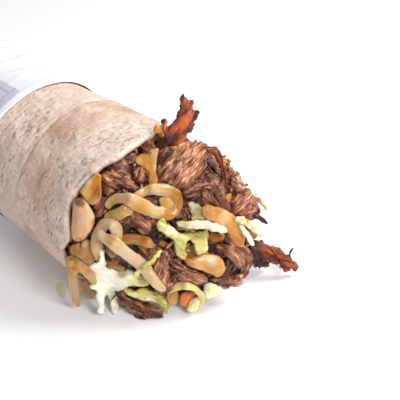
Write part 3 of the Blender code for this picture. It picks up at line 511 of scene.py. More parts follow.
# Pieces drawn by their outline on a sheet. Each row: the nodes it stands for, its outline, thickness and
# rise of its middle in mm, the turn of its grain in degrees, three paint values, and painted spots, each
# (right, down, reach, values).
OUTLINES = {
    "crisp_upright": (
        ["crisp_01"],
        [(162, 134), (168, 128), (173, 122), (177, 114), (179, 107), (180, 99), (182, 93), (185, 95),
         (188, 99), (193, 101), (194, 105), (192, 109), (196, 110), (198.5, 113), (198, 118), (195, 121),
         (193, 127), (188, 135), (183, 142), (177, 147), (171, 147), (166, 144)],
        2.6, 0.4, 62, (0.35, 0, 0),
        [(168, 138, 9, (0, 0.9, 0)), (196, 115, 5, (0.45, 0.75, 0)), (184, 95, 4, (0.1, 0.7, 0)),
         (180, 145, 5, (0.9, 0, 0)), (186, 118, 7, (0.6, 0, 0))],
    ),
    "crisp_lying": (
        ["crisp_02"],
        [(248, 240), (255, 239), (263, 241), (270, 245), (276, 247), (282, 250), (286, 254), (291, 257),
         (296, 262), (300, 267), (296, 271), (290, 270), (285, 272), (281, 268), (278, 265), (271, 263),
         (266, 260), (258, 259), (252, 258), (249, 250)],
        3.6, 0.6, -32, (0.05, 0.3, 0),
        [(254, 250, 9, (0, 0.95, 0)), (291, 264, 6, (0.4, 0.15, 0)), (262, 257, 7, (0, 0.85, 0)),
         (274, 250, 5, (0.3, 0.2, 0))],
    ),
    "meat_big_slice": (
        ["meat_01"],
        [(158, 152), (163, 149), (168, 147), (176, 144), (183, 143), (193, 141), (203, 142), (209, 146),
         (211, 152), (209, 160), (206, 168), (202, 176), (195, 183), (188, 188), (183, 192), (176, 190),
         (167, 186), (160, 180), (156, 168), (157, 160)],
        5.6, 1.4, 52, (0.62, 0, 0.05),
        [(166, 166, 11, (0.25, 0.3, 0.3)), (205, 148, 6, (0.5, 0.1, 0.7)), (170, 186, 7, (0.8, 0, 0))],
    ),
    "meat_pink_slab": (
        ["meat_02"],
        [(101, 175), (106, 171), (112, 170), (118, 172), (124, 171), (128, 176), (129, 181), (134, 184),
         (139, 188), (132, 190), (124, 189), (116, 191), (108, 195), (102, 193), (100, 184)],
        4.2, 0.9, -28, (0.3, 0.1, 0.55),
        [(104, 190, 7, (0.1, 0.5, 0.4)), (122, 188, 6, (0.15, 0.4, 0.3))],
    ),
    "meat_purple": (
        ["meat_03"],
        [(123, 212), (129, 208), (136, 209), (143, 213), (149, 218), (153, 224), (150, 231), (144, 235),
         (138, 230), (132, 224), (126, 218)],
        3.6, 0.8, -38, (0.2, 0.1, 0.6), [(136, 229, 6, (0, 0.8, 0.3))],
    ),
    "meat_dark_slab": (
        ["meat_04"],
        [(183, 194), (188, 188), (194, 184), (202, 181), (210, 182), (216, 185), (215, 190), (208, 194),
         (200, 197), (192, 198), (186, 198)],
        3.6, 0.8, 6, (0.35, 0, 0.3), [(190, 196, 6, (0.1, 0.5, 0.2))],
    ),
    "meat_lower_slab": (
        ["meat_05"],
        [(202, 193), (208, 192), (216, 195), (221, 200), (223, 207), (218, 211), (210, 208), (204, 203),
         (201, 198)],
        3.4, 0.6, -40, (0.4, 0, 0.35), [],
    ),
    "meat_golden": (
        ["meat_06"],
        [(231, 199), (235, 195), (240, 192), (246, 189), (252, 191), (256, 196), (258, 203), (257, 211),
         (254, 218), (249, 221), (243, 217), (236, 215), (230, 211), (229, 204)],
        5.6, 1.2, 40, (0.5, 0.1, 0.5),
        [(254, 216, 5, (0.3, 0.4, 0.3)), (234, 203, 6, (0.3, 0.2, 0.3))],
    ),
    "meat_front": (
        ["meat_07"],
        [(117, 293), (122, 290), (128, 293), (136, 297), (144, 301), (153, 305), (161, 308), (165, 312),
         (162, 317), (154, 318), (144, 319), (136, 317), (128, 311), (120, 304)],
        # The two light spots along its upper edge are painted highlights.
        5.6, 1.2, -24, (0.2, 0.35, 0.2), [(138, 301, 5, (0.7, 0, 0.1)), (128, 295, 5, (0.6, 0, 0.1))],
    ),
    "meat_upright": (
        ["meat_08"],
        [(157, 258), (161, 253), (165, 254), (168, 260), (168, 268), (169, 277), (168, 286), (163, 289),
         (158, 286), (155, 278), (154, 268)],
        4.6, 1.0, 84, (0.7, 0, 0.1), [(157, 270, 4, (0.3, 0.2, 0.1))],
    ),
    "meat_brown_slab": (
        ["meat_09"],
        [(169, 258), (176, 257), (181, 262), (187, 267), (195, 270), (203, 273), (208, 278), (205, 283),
         (197, 285), (186, 284), (177, 279), (171, 272), (168, 265)],
        4.2, 1.0, -24, (0.45, 0, 0.3), [(174, 272, 5, (0.1, 0.5, 0.2))],
    ),
    "meat_ragged": (
        ["meat_10"],
        [(209, 280), (213, 276), (219, 277), (225, 273), (231, 275), (236, 274), (240, 278), (243, 283),
         (238, 287), (231, 286), (225, 288), (217, 285)],
        3.4, 0.6, 4, (0.3, 0.2, 0.4), [],
    ),
    "meat_end": (
        ["meat_17"],
        [(250, 256), (255, 253), (261, 254), (266, 258), (269, 263), (264, 266), (257, 267), (251, 263)],
        3.6, 0.5, -20, (0.05, 0.7, 0.2), [],
    ),
    "petal_wall": (
        ["onion_01"],
        [(80, 192), (84, 185), (90, 178), (96, 173), (101, 175), (101, 183), (102, 191), (100, 199),
         (94, 205), (88, 203), (84, 198)],
        1.2, 0.0, 60, (0.7, 0.12, 0.1), [(100, 192, 8, (0.9, 0.6, 0)), (88, 180, 5, (0.4, 0, 0.5))],
    ),
    "petal_low": (
        ["onion_02"],
        [(81, 243), (86, 239), (93, 240), (97, 246), (98, 254), (95, 261), (89, 264), (83, 261), (80, 252)],
        2.0, 0.4, 70, (0.7, 0.2, 0.2), [(84, 244, 4, (0.2, 0, 0.8)), (94, 258, 5, (0.9, 0.6, 0))],
    ),
    "lobe": (
        ["onion_03"],
        [(73, 202), (77, 198), (84, 197), (88, 203), (92, 210), (95, 217), (93, 227), (88, 235), (83, 240),
         (77, 242), (72, 238), (71, 228), (72, 215)],
        4.4, 0.6, 80, (0.1, 0.05, 0.75),
        [(80, 199, 9, (0.5, 1.2, 0)), (79, 240, 5, (0.8, 0.1, 0)), (93, 222, 3.5, (0.8, 0.2, 0)),
         # The pale spot at (83, 222) is a painted highlight.
         (83, 222, 8, (0.0, 0, 1.1))],
    ),
    "petal_glossy": (
        ["onion_04"],
        [(182, 255), (188, 257), (195, 256), (203, 254), (213, 254), (221, 258), (225, 265), (224, 273),
         (218, 277), (210, 274), (202, 271), (193, 268), (186, 264)],
        2.0, 1.1, -14, (0.4, 0.05, 0.2),
        # The pale spot at (212, 264) is a painted highlight.
        [(188, 262, 7, (0.8, 0.45, 0)), (222, 273, 4, (0.9, 0.1, 0)), (212, 264, 6, (0.0, 0, 0.8))],
    ),
    "petal_flap": (
        ["onion_16"],
        [(78, 272), (84, 273), (90, 279), (94, 288), (95, 297), (90, 299), (84, 295), (79, 286)],
        1.4, 0.2, 65, (0.5, 0.1, 0.5), [(84, 276, 6, (0.8, 0.5, 0)), (92, 292, 5, (0.1, 0, 0.9))],
    ),
    "onion_amber_band": (
        ["onion_06"],
        [(201, 209), (206, 205), (215, 206), (224, 209), (232, 214), (238, 221), (242, 229), (245, 237),
         (243, 246), (237, 246), (233, 240), (228, 233), (222, 227), (214, 222), (207, 220), (202, 216)],
        1.5, 0.3, -45, (0.7, 0.05, 0.15),
        [(206, 212, 7, (0.7, 0.45, 0)), (241, 241, 5, (1.0, 0, 0)), (224, 218, 6, (0.1, 0, 0.8))],
    ),
    "onion_membrane": (
        ["onion_05"],
        [(134, 158), (140, 154), (147, 151), (154, 148), (159, 149), (158, 157), (157, 165), (158, 174),
         (158, 183), (155, 189), (149, 188), (148, 180), (147, 172), (141, 167), (135, 164)],
        1.9, 0.4, -75, (0.6, 0.1, 0.1),
        [(156, 152, 5, (0.3, 0.1, 0.5)), (152, 184, 5, (0.8, 0.1, 0))],
    ),
    "leaf_white": (
        ["cabbage_02", "cabbage_07", "cabbage_08", "cabbage_09"],
        [(98, 250), (102, 248), (105, 251), (105, 257), (107, 263), (107, 267), (115, 269), (121, 270),
         (128, 268), (134, 270), (139, 273), (146, 276), (150, 280), (148, 285), (141, 287), (133, 286),
         (126, 289), (119, 291), (118, 298), (119, 305), (117, 312), (113, 315), (111, 309), (110, 301),
         (107, 295), (105, 299), (105, 307), (106, 313), (101, 314), (97, 312), (98, 304), (96, 297),
         (96, 291), (91, 289), (90, 285), (93, 281), (91, 275), (88, 271), (88, 266), (93, 263), (98, 261),
         (100, 257)],
        1.8, 0.8, -20, (0.0, 0.0, 0),
        [(122, 273, 5, (0.9, 0.4, 0)), (143, 281, 8, (0.35, 0.6, 0)), (132, 283, 6, (0.2, 0.5, 0)),
         (92, 284, 4, (0.2, 0.6, 0)), (117, 308, 4, (0, 0.3, 0.5)), (104, 268, 4, (0, 0, 0.3))],
    ),
    "leaf_centre": (
        ["cabbage_10", "cabbage_13", "cabbage_14"],
        [(156, 223), (160, 219), (164, 219), (168, 224), (173, 227), (178, 231), (185, 233), (193, 232),
         (200, 231), (206, 232), (208, 237), (207, 244), (208, 250), (203, 253), (198, 255), (195, 251),
         (194, 245), (190, 240), (187, 244), (185, 250), (187, 256), (183, 260), (178, 257), (175, 251),
         (174, 244), (172, 239), (167, 237), (162, 233), (158, 229)],
        1.5, 0.4, -30, (0.55, 0.55, 0),
        [(163, 225, 6, (0.95, 0.4, 0)), (204, 243, 7, (0.2, 0.7, 0)), (182, 235, 5, (0.9, 0.6, 0)),
         (171, 230, 4, (0.1, 0.2, 0)), (180, 250, 5, (0.5, 0.8, 0.2)), (194, 237, 4, (0.7, 0.8, 0))],
    ),
    "leaf_pale": (
        ["cabbage_03"],
        [(187, 203), (190, 201), (195, 203), (199, 205), (202, 210), (205, 216), (203, 220), (197, 219),
         (192, 220), (191, 214), (190, 208)],
        1.3, 0.4, -60, (0.15, 0.5, 0), [(201, 217, 4, (0.5, 0.5, 0))],
    ),
    "leaf_stick": (
        ["cabbage_12"],
        [(176, 222), (181, 220), (188, 221), (197, 220), (207, 221), (216, 223), (223, 225), (227, 229),
         (227, 233), (221, 233), (212, 231), (203, 229), (194, 229), (185, 228), (178, 226)],
        1.9, 0.4, -10, (0.1, 0.15, 0), [(183, 224, 7, (0.35, 0.4, 0)), (215, 227, 6, (0, 0, 0.35))],
    ),
    "leaf_rib": (
        ["cabbage_04"],
        [(234, 219), (238, 216), (243, 216), (250, 220), (257, 222), (264, 226), (268, 231), (266, 237),
         (259, 236), (252, 232), (245, 227), (239, 223)],
        1.9, 0.5, -35, (0.25, 0.3, 0),
        [(244, 222, 6, (0.9, 0.3, 0)), (262, 232, 5, (0, 0, 0.15)), (253, 230, 4, (0.6, 0.3, 0))],
    ),
    "leaf_green_stick": (
        ["cabbage_11"],
        [(133, 274), (139, 268), (145, 263), (151, 258), (156, 252), (160, 249), (162, 252), (158, 258),
         (153, 264), (146, 268), (140, 273), (137, 277)],
        1.5, 0.3, 42, (0.6, 0.5, 0), [(158, 253, 5, (0.3, 0.6, 0)), (142, 268, 4, (0.9, 0.4, 0))],
    ),
    "leaf_green": (
        ["cabbage_06"],
        [(123, 291), (128, 288), (135, 290), (141, 287), (148, 288), (155, 291), (162, 295), (167, 301),
         (169, 308), (167, 314), (163, 311), (160, 306), (154, 303), (146, 301), (138, 299), (130, 296)],
        1.8, 0.7, -20, (1.0, 0.4, 0), [(143, 290, 5, (0.6, 0.8, 0)), (165, 309, 4, (0.7, 0.8, 0))],
    ),
    "leaf_clear": (
        ["cabbage_01"],
        [(203, 286), (208, 282), (214, 283), (220, 286), (226, 290), (223, 295), (216, 297), (209, 299),
         (204, 296)],
        1.4, 0.6, -22, (0.05, 0.15, 0.1), [(208, 288, 3, (0, 0.3, 0.6))],
    ),
    "carrot_sliver": (
        ["carrot_01"],
        [(181, 293), (186, 291), (192, 291), (195, 295), (191, 299), (189, 304), (185, 307), (180, 304),
         (179, 298)],
        2.0, 0.4, 60, (0, 0, 0), [],
    ),
}

# What a bit rests on, where that isn't just the heap.
RESTS = {
    "grey_tip": ("crisp_01",), "amber_bit": ("crisp_01",), "amber_fringe": ("crisp_01", "meat_01"),
    "pale_strip": ("cabbage_04", "meat_12"), "pale_strand": ("meat_06",), "loop_inside": ("meat_filling",),
    "grey_strip_a": ("meat_filling",), "grey_strip_b": ("meat_filling",),
    "glossy_orange": ("meat_12", "meat_13", "onion_06"), "amber_fill_a": ("meat_filling",),
    "amber_fill_b": ("meat_filling",), "amber_fill_c": ("meat_filling",),
    "strand_root": ("onion_09", "onion_10"),
}

# Small bits that lie on the heap. Each row: its finish, its outline, thickness and lift above what it lies
# on, the turn of its grain, its paint values, and painted spots.
BITS = {
    "fold_left": (
        "onion",
        [(70, 247), (75, 243), (82, 243), (85, 250), (90, 258), (95, 262), (93, 267), (86, 264), (78, 258),
         (71, 253)],
        1.4, 0.0, 40, (0.5, 0.35, 0.3), [(80, 246, 5, (0.1, 0.1, 0.9)), (91, 263, 5, (0.8, 0.5, 0))],
    ),
    "strand_root": (
        "onion",
        [(66, 262), (70, 258), (76, 260), (80, 265), (79, 272), (74, 276), (69, 274), (66, 269)],
        2.6, -1.3, 70, (0.7, 0.3, 0.1), [(70, 264, 4, (0.3, 0.1, 0.5))],
    ),
    "rough_bit": (
        "meat",
        [(93, 205), (96, 199), (102, 196), (107, 200), (105, 207), (104, 214), (99, 218), (94, 214)],
        3.2, 0.6, 60, (0.4, 0.1, 0.6), [],
    ),
    "grey_strip_a": (
        "meat",
        [(177, 199), (181, 197), (186, 203), (191, 209), (193, 216), (189, 219), (184, 213), (179, 206)],
        2.6, 0.5, -55, (0.45, 0.1, 0), [],
    ),
    "grey_strip_b": (
        "meat",
        [(169, 206), (174, 203), (180, 208), (185, 214), (183, 219), (176, 217), (170, 212)],
        2.4, 0.3, -50, (0.4, 0.2, 0), [],
    ),
    "dotted_lump": (
        "meat",
        [(132, 172), (137, 167), (143, 167), (148, 173), (149, 180), (144, 185), (137, 184), (133, 179)],
        3.0, 0.8, 70, (0.35, 0.25, 0.6), [],
    ),
    "upper_bit_a": (
        "meat",
        [(120, 161), (126, 157), (132, 156), (134, 161), (129, 165), (123, 166)],
        2.4, 0.3, 30, (0.35, 0.2, 0.6), [],
    ),
    "upper_bit_b": (
        "meat",
        [(146, 137), (152, 132), (159, 130), (163, 134), (160, 140), (152, 143)],
        2.6, 0.3, 35, (0.25, 0.35, 0.5), [],
    ),
    "upper_bit_c": (
        "meat",
        [(137, 147), (144, 143), (152, 145), (157, 148), (152, 152), (143, 153)],
        2.2, 0.3, 20, (0.55, 0.0, 0.6), [],
    ),
    "low_strand": (
        "meat",
        [(216, 236), (223, 233), (231, 237), (236, 244), (233, 249), (226, 247), (218, 243)],
        2.4, 0.2, -40, (0.15, 0.5, 0.3), [],
    ),
    "glossy_orange": (
        "onion",
        [(208, 235), (213, 231), (220, 232), (225, 236), (222, 241), (214, 243), (209, 240)],
        1.6, 0.4, -10, (1.0, 0.25, 0), [],
    ),
    "clear_skin": (
        "onion",
        [(184, 247), (190, 243), (198, 246), (206, 250), (209, 255), (202, 257), (193, 259), (186, 255)],
        1.2, 0.3, -15, (0.7, 0.35, 0), [],
    ),
    "amber_fill_a": (
        "onion",
        [(103, 243), (108, 238), (114, 238), (118, 245), (118, 253), (112, 258), (105, 252)],
        1.8, 0.3, 60, (0.8, 0.3, 0), [],
    ),
    "amber_fill_b": (
        "onion",
        [(136, 242), (143, 241), (151, 244), (157, 250), (157, 257), (149, 257), (141, 251)],
        1.8, 0.3, -30, (0.75, 0.25, 0.1), [],
    ),
    "amber_fill_c": (
        "onion",
        [(106, 262), (112, 260), (119, 263), (126, 267), (122, 271), (114, 269), (107, 267)],
        1.6, 0.2, -20, (0.9, 0.35, 0), [],
    ),
    "amber_bit": (
        "onion",
        [(153, 129), (156, 124), (160, 126), (163, 122), (166, 126), (165, 131), (168, 136), (162, 137),
         (158, 133), (155, 134)],
        1.6, 0.2, 30, (1.0, 0.1, 0), [],
    ),
    "grey_tip": (
        "crisp",
        [(161, 122), (163, 119), (166, 120), (167, 126), (168, 133), (163, 134)],
        1.6, 0.4, 70, (0.2, 1.0, 0), [],
    ),
    "amber_fringe": (
        "onion",
        [(168, 142), (174, 143), (180, 141), (186, 143), (183, 148), (176, 151), (170, 149)],
        1.4, 0.3, 0, (1.0, 0.1, 0.1), [],
    ),
    "red_bits": (
        "onion",
        [(155, 236), (161, 238), (167, 242), (173, 248), (172, 253), (166, 250), (159, 245)],
        1.8, 0.4, -40, (1.0, 0.45, 0), [],
    ),
    "pale_strip": (
        "cabbage",
        [(238, 223), (243, 226), (248, 231), (252, 237), (254, 244), (251, 245), (247, 239), (242, 232)],
        1.2, 0.5, -55, (0.0, 0.1, 0.2), [],
    ),
    "pale_strand": (
        "onion",
        [(255, 197), (260, 198), (265, 203), (268, 209), (266, 211), (262, 206), (257, 201)],
        1.2, 0.3, -45, (0.1, 0, 0.9), [],
    ),
    "olive_root": (
        "onion",
        [(167, 292), (172, 289), (177, 290), (178, 297), (176, 304), (170, 306), (166, 300)],
        1.6, 0.2, 70, (0.5, 0.2, 0.2), [],
    ),
    "cream_corner": (
        "cabbage",
        [(189, 300), (195, 298), (199, 302), (197, 309), (191, 313), (186, 310), (187, 305)],
        1.6, 0.2, 60, (0.0, 0.4, 0.0), [],
    ),
    "dark_base": (
        "crisp",
        [(246, 252), (252, 250), (258, 254), (264, 259), (262, 265), (255, 265), (248, 260)],
        2.4, 0.3, -40, (0.0, 0.8, 0), [],
    ),
    "loop_inside": (
        "onion",
        [(158, 199), (164, 196), (171, 198), (174, 204), (170, 210), (162, 209)],
        1.2, 1.6, 30, (0.7, 0, 0.1), [],
    ),
}

# Where the skins start and how far round they go, and the radius at which their places are measured.
SKIN_START_DEG, SKIN_TURN_DEG = LAYER_EDGE_DEG + 0.2, 358.8
MEASURED_RADIUS = 32 * MM

# The bread's fine grid, closest at its edge.
BREAD_COLUMNS, BREAD_ROWS, BREAD_INNER_ROWS = 500, 176, 12
EDGE_SHARES, EDGE_END = (0, 0.0015, 0.005, 0.01), 0.016
BREAD_UNDER_PAPER, BREAD_INNER_END = -50 * MM, -6 * MM

# The bread's relief: how high each part of it is, and how far it spans.
EDGE_WAVE, EDGE_WAVE_LENGTH = 0.8 * MM, 7 * MM
PIT_DEPTH, PIT_LENGTH, PIT_WIDTH, PIT_FIELD = 0.34 * MM, 2.3 * MM, 0.85 * MM, 11 * MM
PIT_SLANT = math.radians(16)
BLISTER_HEIGHT, BLISTER_SPAN = 0.45 * MM, 9 * MM
DIMPLE_HEIGHT, DIMPLE_SPAN = 0.14 * MM, 3.2 * MM
GRIT_HEIGHT, GRIT_SPAN = 0.07 * MM, 1.2 * MM
SEAM_X, SEAM_STEP, SEAM_WAVE, SEAM_SPAN = -17.5 * MM, 0.5 * MM, 1.4 * MM, 14 * MM
RIM_WIDTH, RIM_ROUNDING = 1.3 * MM, 0.6 * MM
BROWN_SPAN, SPECK_SPAN = 13 * MM, 1.15 * MM


def smoothstep(low, high, value):
    """0 below low, 1 above high, smooth between."""
    share = np.clip((value - low) / (high - low), 0, 1)
    return share * share * (3 - 2 * share)


def skin_angles(count):
    """The angles of a skin's columns, in degrees."""
    return SKIN_START_DEG + SKIN_TURN_DEG * np.linspace(0, 1, count)


def round_places(degrees, along):
    """Places round the roll's axis, for noise that joins up all the way round."""
    turn = np.radians(degrees)
    return np.column_stack([np.cos(turn) * MEASURED_RADIUS, np.sin(turn) * MEASURED_RADIUS, along])


def away_from_axis(skin):
    """The way out from the roll's axis at each point."""
    outward = np.column_stack([np.zeros(len(skin)), skin[:, 1], skin[:, 2] - AXIS_HEIGHT])
    return outward / np.linalg.norm(outward, axis=1)[:, None]


def bread_places():
    """The angle, place along and height off the skin of the bread's points, and how far its edge is there."""
    angles = skin_angles(BREAD_COLUMNS)
    edge = round_places(angles, np.zeros(BREAD_COLUMNS)) / EDGE_WAVE_LENGTH
    reach = np.array([mouth_reach(a) for a in angles]) + EDGE_WAVE * (rough_noise(edge, 3) - 0.4)
    rows = []
    for share in np.linspace(1, 0, BREAD_INNER_ROWS):
        inner = reach - 0.25 * MM + (BREAD_INNER_END - reach) * share
        rows.append([(a, x, -BREAD_WALL) for a, x in zip(angles, inner)])
    for share in [*EDGE_SHARES, *np.linspace(EDGE_END, 1, BREAD_ROWS)]:
        rows.append([(a, r + (BREAD_UNDER_PAPER - r) * share, 0.0) for a, r in zip(angles, reach)])
    return np.array(rows).reshape(-1, 3), np.tile(reach, len(rows))


def bread_pits(along, around, ring):
    """How deep the slanted pits are at each point, 0 to 1."""
    tilted_along = along * math.cos(PIT_SLANT) + around * math.sin(PIT_SLANT)
    tilted_around = around * math.cos(PIT_SLANT) - along * math.sin(PIT_SLANT)
    flat = np.column_stack([tilted_along / PIT_WIDTH, tilted_around / PIT_LENGTH, np.zeros(len(along))])
    where = 0.5 + 0.5 * rough_noise(ring / PIT_FIELD, 23, 2)
    return np.clip(rough_noise(flat, 21, 2) * 1.9 - 1.3 + 0.7 * where, 0, 1)


def bread_paint(skin, mouthward, ring, inside, rim, before_seam, blisters):
    """Brown and pale: brown from seam to mouth, browner inside and darker low down, floury by the mouth and
    paler on top.
    """
    patches = rough_noise(ring / BROWN_SPAN, 31, 3)
    low_side = np.clip((AXIS_HEIGHT * 0.9 - skin[:, 2]) / AXIS_HEIGHT, 0, 1)
    high_side = smoothstep(1.25, 1.75, skin[:, 2] / AXIS_HEIGHT) * smoothstep(-6, 6, mouthward)
    brown = before_seam * (1 - smoothstep(-6, 12, mouthward)) * (0.55 + 0.75 * patches)
    brown += 0.6 * low_side * (0.6 + 0.7 * blisters) + 0.15 * patches
    brown = np.clip(brown + 0.85 * inside + 0.5 * rim, 0, 1) * (1 - 0.5 * high_side)
    flour = smoothstep(-2, 11, mouthward) * (0.8 + 0.5 * patches) * (1 - inside) * (1 - rim)
    flour += ((1 - before_seam) * 0.35 + 0.9 * high_side) * (1 - inside)
    return brown, np.clip(flour, 0, 1)


def make_bread():
    """The flatbread's skin, with pits and blisters, its uneven edge, and its inside as far as it shows."""
    places, reach = bread_places()
    degrees, along, out = places.T
    skin = np.array([roll_point(*place) for place in places])
    inside = (out < 0).astype(float)
    around, ring = np.radians(degrees) * MEASURED_RADIUS, round_places(degrees, along)
    pits = bread_pits(along, around, ring)
    dimples = rough_noise(ring / DIMPLE_SPAN, 27, 3)
    blisters = rough_noise(ring / BLISTER_SPAN, 41, 3)
    seam_x = SEAM_X + SEAM_WAVE * value_noise(ring / SEAM_SPAN, 43)
    before_seam = smoothstep(-0.5 * MM, 0.6 * MM, along - seam_x) * (1 - inside)
    lift = BLISTER_HEIGHT * blisters - PIT_DEPTH * pits * (1 - inside) + DIMPLE_HEIGHT * dimples
    lift += GRIT_HEIGHT * rough_noise(ring / GRIT_SPAN, 51, 2) + SEAM_STEP * (before_seam - 0.5)
    rim = np.clip(1 - (reach - along) / RIM_WIDTH, 0, 1)
    lift = lift * (1 - 0.6 * rim) - RIM_ROUNDING * rim * rim * (1 - 2 * inside)
    lift = lift * smoothstep(-44 * MM, -40 * MM, along) - 0.1 * MM
    on_table = skin[:, 2] < 0.4 * MM
    lift[on_table] = np.minimum(lift[on_table], 0)
    skin += away_from_axis(skin) * lift[:, None]
    mouthward = (along + 2.5 * MM * blisters) / MM
    brown, flour = bread_paint(skin, mouthward, ring, inside, rim, before_seam, blisters)
    specks = smoothstep(0.42, 0.62, rough_noise(ring / SPECK_SPAN, 61, 2)) * smoothstep(-4, 10, mouthward)
    marks = np.clip(pits + 0.7 * specks * (1 - inside) + 0.35 * np.clip(-dimples - 0.25, 0, 1), 0, 1)
    grain = np.column_stack([along, around, inside * 0.09]) / MM
    faces = grid_faces(len(skin) // BREAD_COLUMNS, BREAD_COLUMNS, closed=True)
    bread = Build()
    bread.add(skin, faces, grain, np.column_stack([marks, brown, flour]))
    bread.piece("bread_roll", "bread", ["flatbread"])


# The paper's fine grid and relief, and the panel printed on it.
PAPER_COLUMNS, PAPER_ROWS, PAPER_END_ROWS = 280, 136, 38
PAPER_LAYER = 0.25 * MM
CREASE_HEIGHT, CREASE_SPAN = 1.3 * MM, 17 * MM
FOLD_HEIGHT, FOLD_SPAN = 0.45 * MM, 8 * MM
HEM, HEM_SLANT, HEM_RISE, PLEAT_DEPTH = 2.8 * MM, 1.2 * MM, 0.12 * MM, 1.6 * MM
PANEL_FROM_EDGE, PANEL_LENGTH = 3.4 * MM, 24 * MM
PANEL_DEG = (104, 212)
PANEL_STRIPE, STRIPE_WIDTH, STRIPES_FROM = 3.2 * MM, 0.5 * MM, 5 * MM
PANEL_LINE, LINE_WIDTH = 3.5 * MM, 0.7 * MM
CLOSING = {
    0: 1, 0.82: 1, 0.86: 0.996, 0.9: 0.985, 0.93: 0.97, 0.955: 0.948, 0.975: 0.92, 0.99: 0.87, 1.0: 0.80,
    1.006: 0.62, 1.01: 0.40, 1.012: 0.06,
}
PLEATS = {0: 0, 0.955: 0, 0.985: 0.1, 1.0: 0.3, 1.006: 0.6, 1.012: 0.4}


def paper_places():
    """The paper's skin, and the angle, the share of the length and the place along of its points."""
    shares = [*np.linspace(0, 0.95, PAPER_ROWS), *(1.012 - 0.06 * np.linspace(1, 0, PAPER_END_ROWS) ** 2)]
    skin, places = [], []
    for share in shares:
        closing, pleats = between(CLOSING, share), between(PLEATS, share)
        for degrees in skin_angles(PAPER_COLUMNS):
            turn = math.radians(degrees)
            slant = HEM_SLANT * math.sin(turn * 2 - 0.7) * max(1 - share, 0)
            x = PAPER_FRONT + (PAPER_BACK - PAPER_FRONT) * share + slant
            px, py, pz = roll_point(degrees, x, PAPER_GAP + 0.45 * MM * min(share / 0.03, 1), closing)
            gather = 1 + 0.7 * math.cos(turn * 9) + 0.3 * math.cos(turn * 23 + 1)
            skin.append((px - pleats * PLEAT_DEPTH * gather, py, max(pz, 0)))
            places.append((degrees, share, x))
    return np.array(skin), np.array(places)


def paper_print(degrees, arc, depth):
    """Where the printed panel and its stripes are, from the depth behind the panel's edge."""
    low, high = PANEL_DEG
    panel = (depth > 0) & (depth < PANEL_LENGTH) & (degrees > low) & (degrees < high)
    stripes = panel & ((arc % PANEL_STRIPE) < STRIPE_WIDTH) & (depth > STRIPES_FROM)
    return panel, stripes | (panel & (np.abs(depth - PANEL_LINE) < LINE_WIDTH / 2))


def make_paper():
    """The paper sleeve: smooth at its front hem, crumpled further back and pleated shut at its end."""
    skin, places = paper_places()
    degrees, share, along = places.T
    ring = round_places(degrees, along)
    away = np.clip((share - 0.02) / 0.25, 0.1, 1)
    wide = ring * np.array([1, 1, 0.6]) / CREASE_SPAN
    wavy = wide + 0.35 * np.column_stack([value_noise(wide, 5)] * 3)
    creases = 1 - np.clip(np.abs(value_noise(wavy, 7)) * 2.2, 0, 1)
    folds = 1 - np.clip(np.abs(value_noise(ring / FOLD_SPAN, 9)) * 2.6, 0, 1)
    lift = away * (CREASE_HEIGHT * creases**1.5 + FOLD_HEIGHT * folds**2)
    lift += 0.25 * MM * value_noise(wide * 1.7, 11)
    depth = PAPER_FRONT - along
    hem = np.clip((depth - HEM) / (0.4 * MM), 0, 1)
    lift = np.maximum(lift + HEM_RISE * (1 - hem), -0.1 * MM)
    skin += away_from_axis(skin) * lift[:, None]
    arc = np.radians(degrees) * MEASURED_RADIUS
    panel, stripes = paper_print(degrees, arc, depth - PANEL_FROM_EDGE)
    tint = np.column_stack([panel, stripes, np.clip(creases * away + 0.5 * (1 - hem), 0, 1)]).astype(float)
    grain = np.column_stack([along, arc, np.zeros(len(skin))]) / MM
    faces = grid_faces(len(skin) // PAPER_COLUMNS, PAPER_COLUMNS, closed=True)
    last, centre = len(skin) - PAPER_COLUMNS, len(skin)
    faces += [[last + j, last + (j + 1) % PAPER_COLUMNS, centre] for j in range(PAPER_COLUMNS)]
    paper = Build()
    paper.add(
        np.vstack([skin, skin[last:].mean(0)]), faces, np.vstack([grain, grain[-1]]),
        np.vstack([tint, tint[-1]]),
    )
    thick = paper.piece("paper_wrapper", "paper", ["paper_sleeve"]).modifiers.new("thickness", "SOLIDIFY")
    thick.thickness, thick.offset = PAPER_LAYER, -1


def curve(before, a, b, after, t):
    """A point on a smooth curve from a to b."""
    return 0.5 * (2 * a + (b - before) * t + (2 * before - 5 * a + 4 * b - after) * t * t
                  + (3 * a - before - 3 * b + after) * t ** 3)


def smooth_route(route, step):
    """Points along a smooth curve through a route, about a step apart."""
    stops = [Vector(p[:2]) for p in route]
    stops = [stops[0] * 2 - stops[1], *stops, stops[-1] * 2 - stops[-2]]
    fine = [curve(*stops[i - 1 : i + 3], n / 12) for i in range(1, len(stops) - 2) for n in range(12)]
    fine.append(stops[-2])
    lengths = [0, *itertools.accumulate((b - a).length for a, b in zip(fine, fine[1:]))]
    count = max(round(lengths[-1] / step), 4)
    made = []
    for n in range(count + 1):
        want = lengths[-1] * n / count
        i = min(max(bisect.bisect(lengths, want), 1), len(lengths) - 1)
        share = (want - lengths[i - 1]) / (lengths[i] - lengths[i - 1])
        made.append(fine[i - 1].lerp(fine[i], share))
    return made


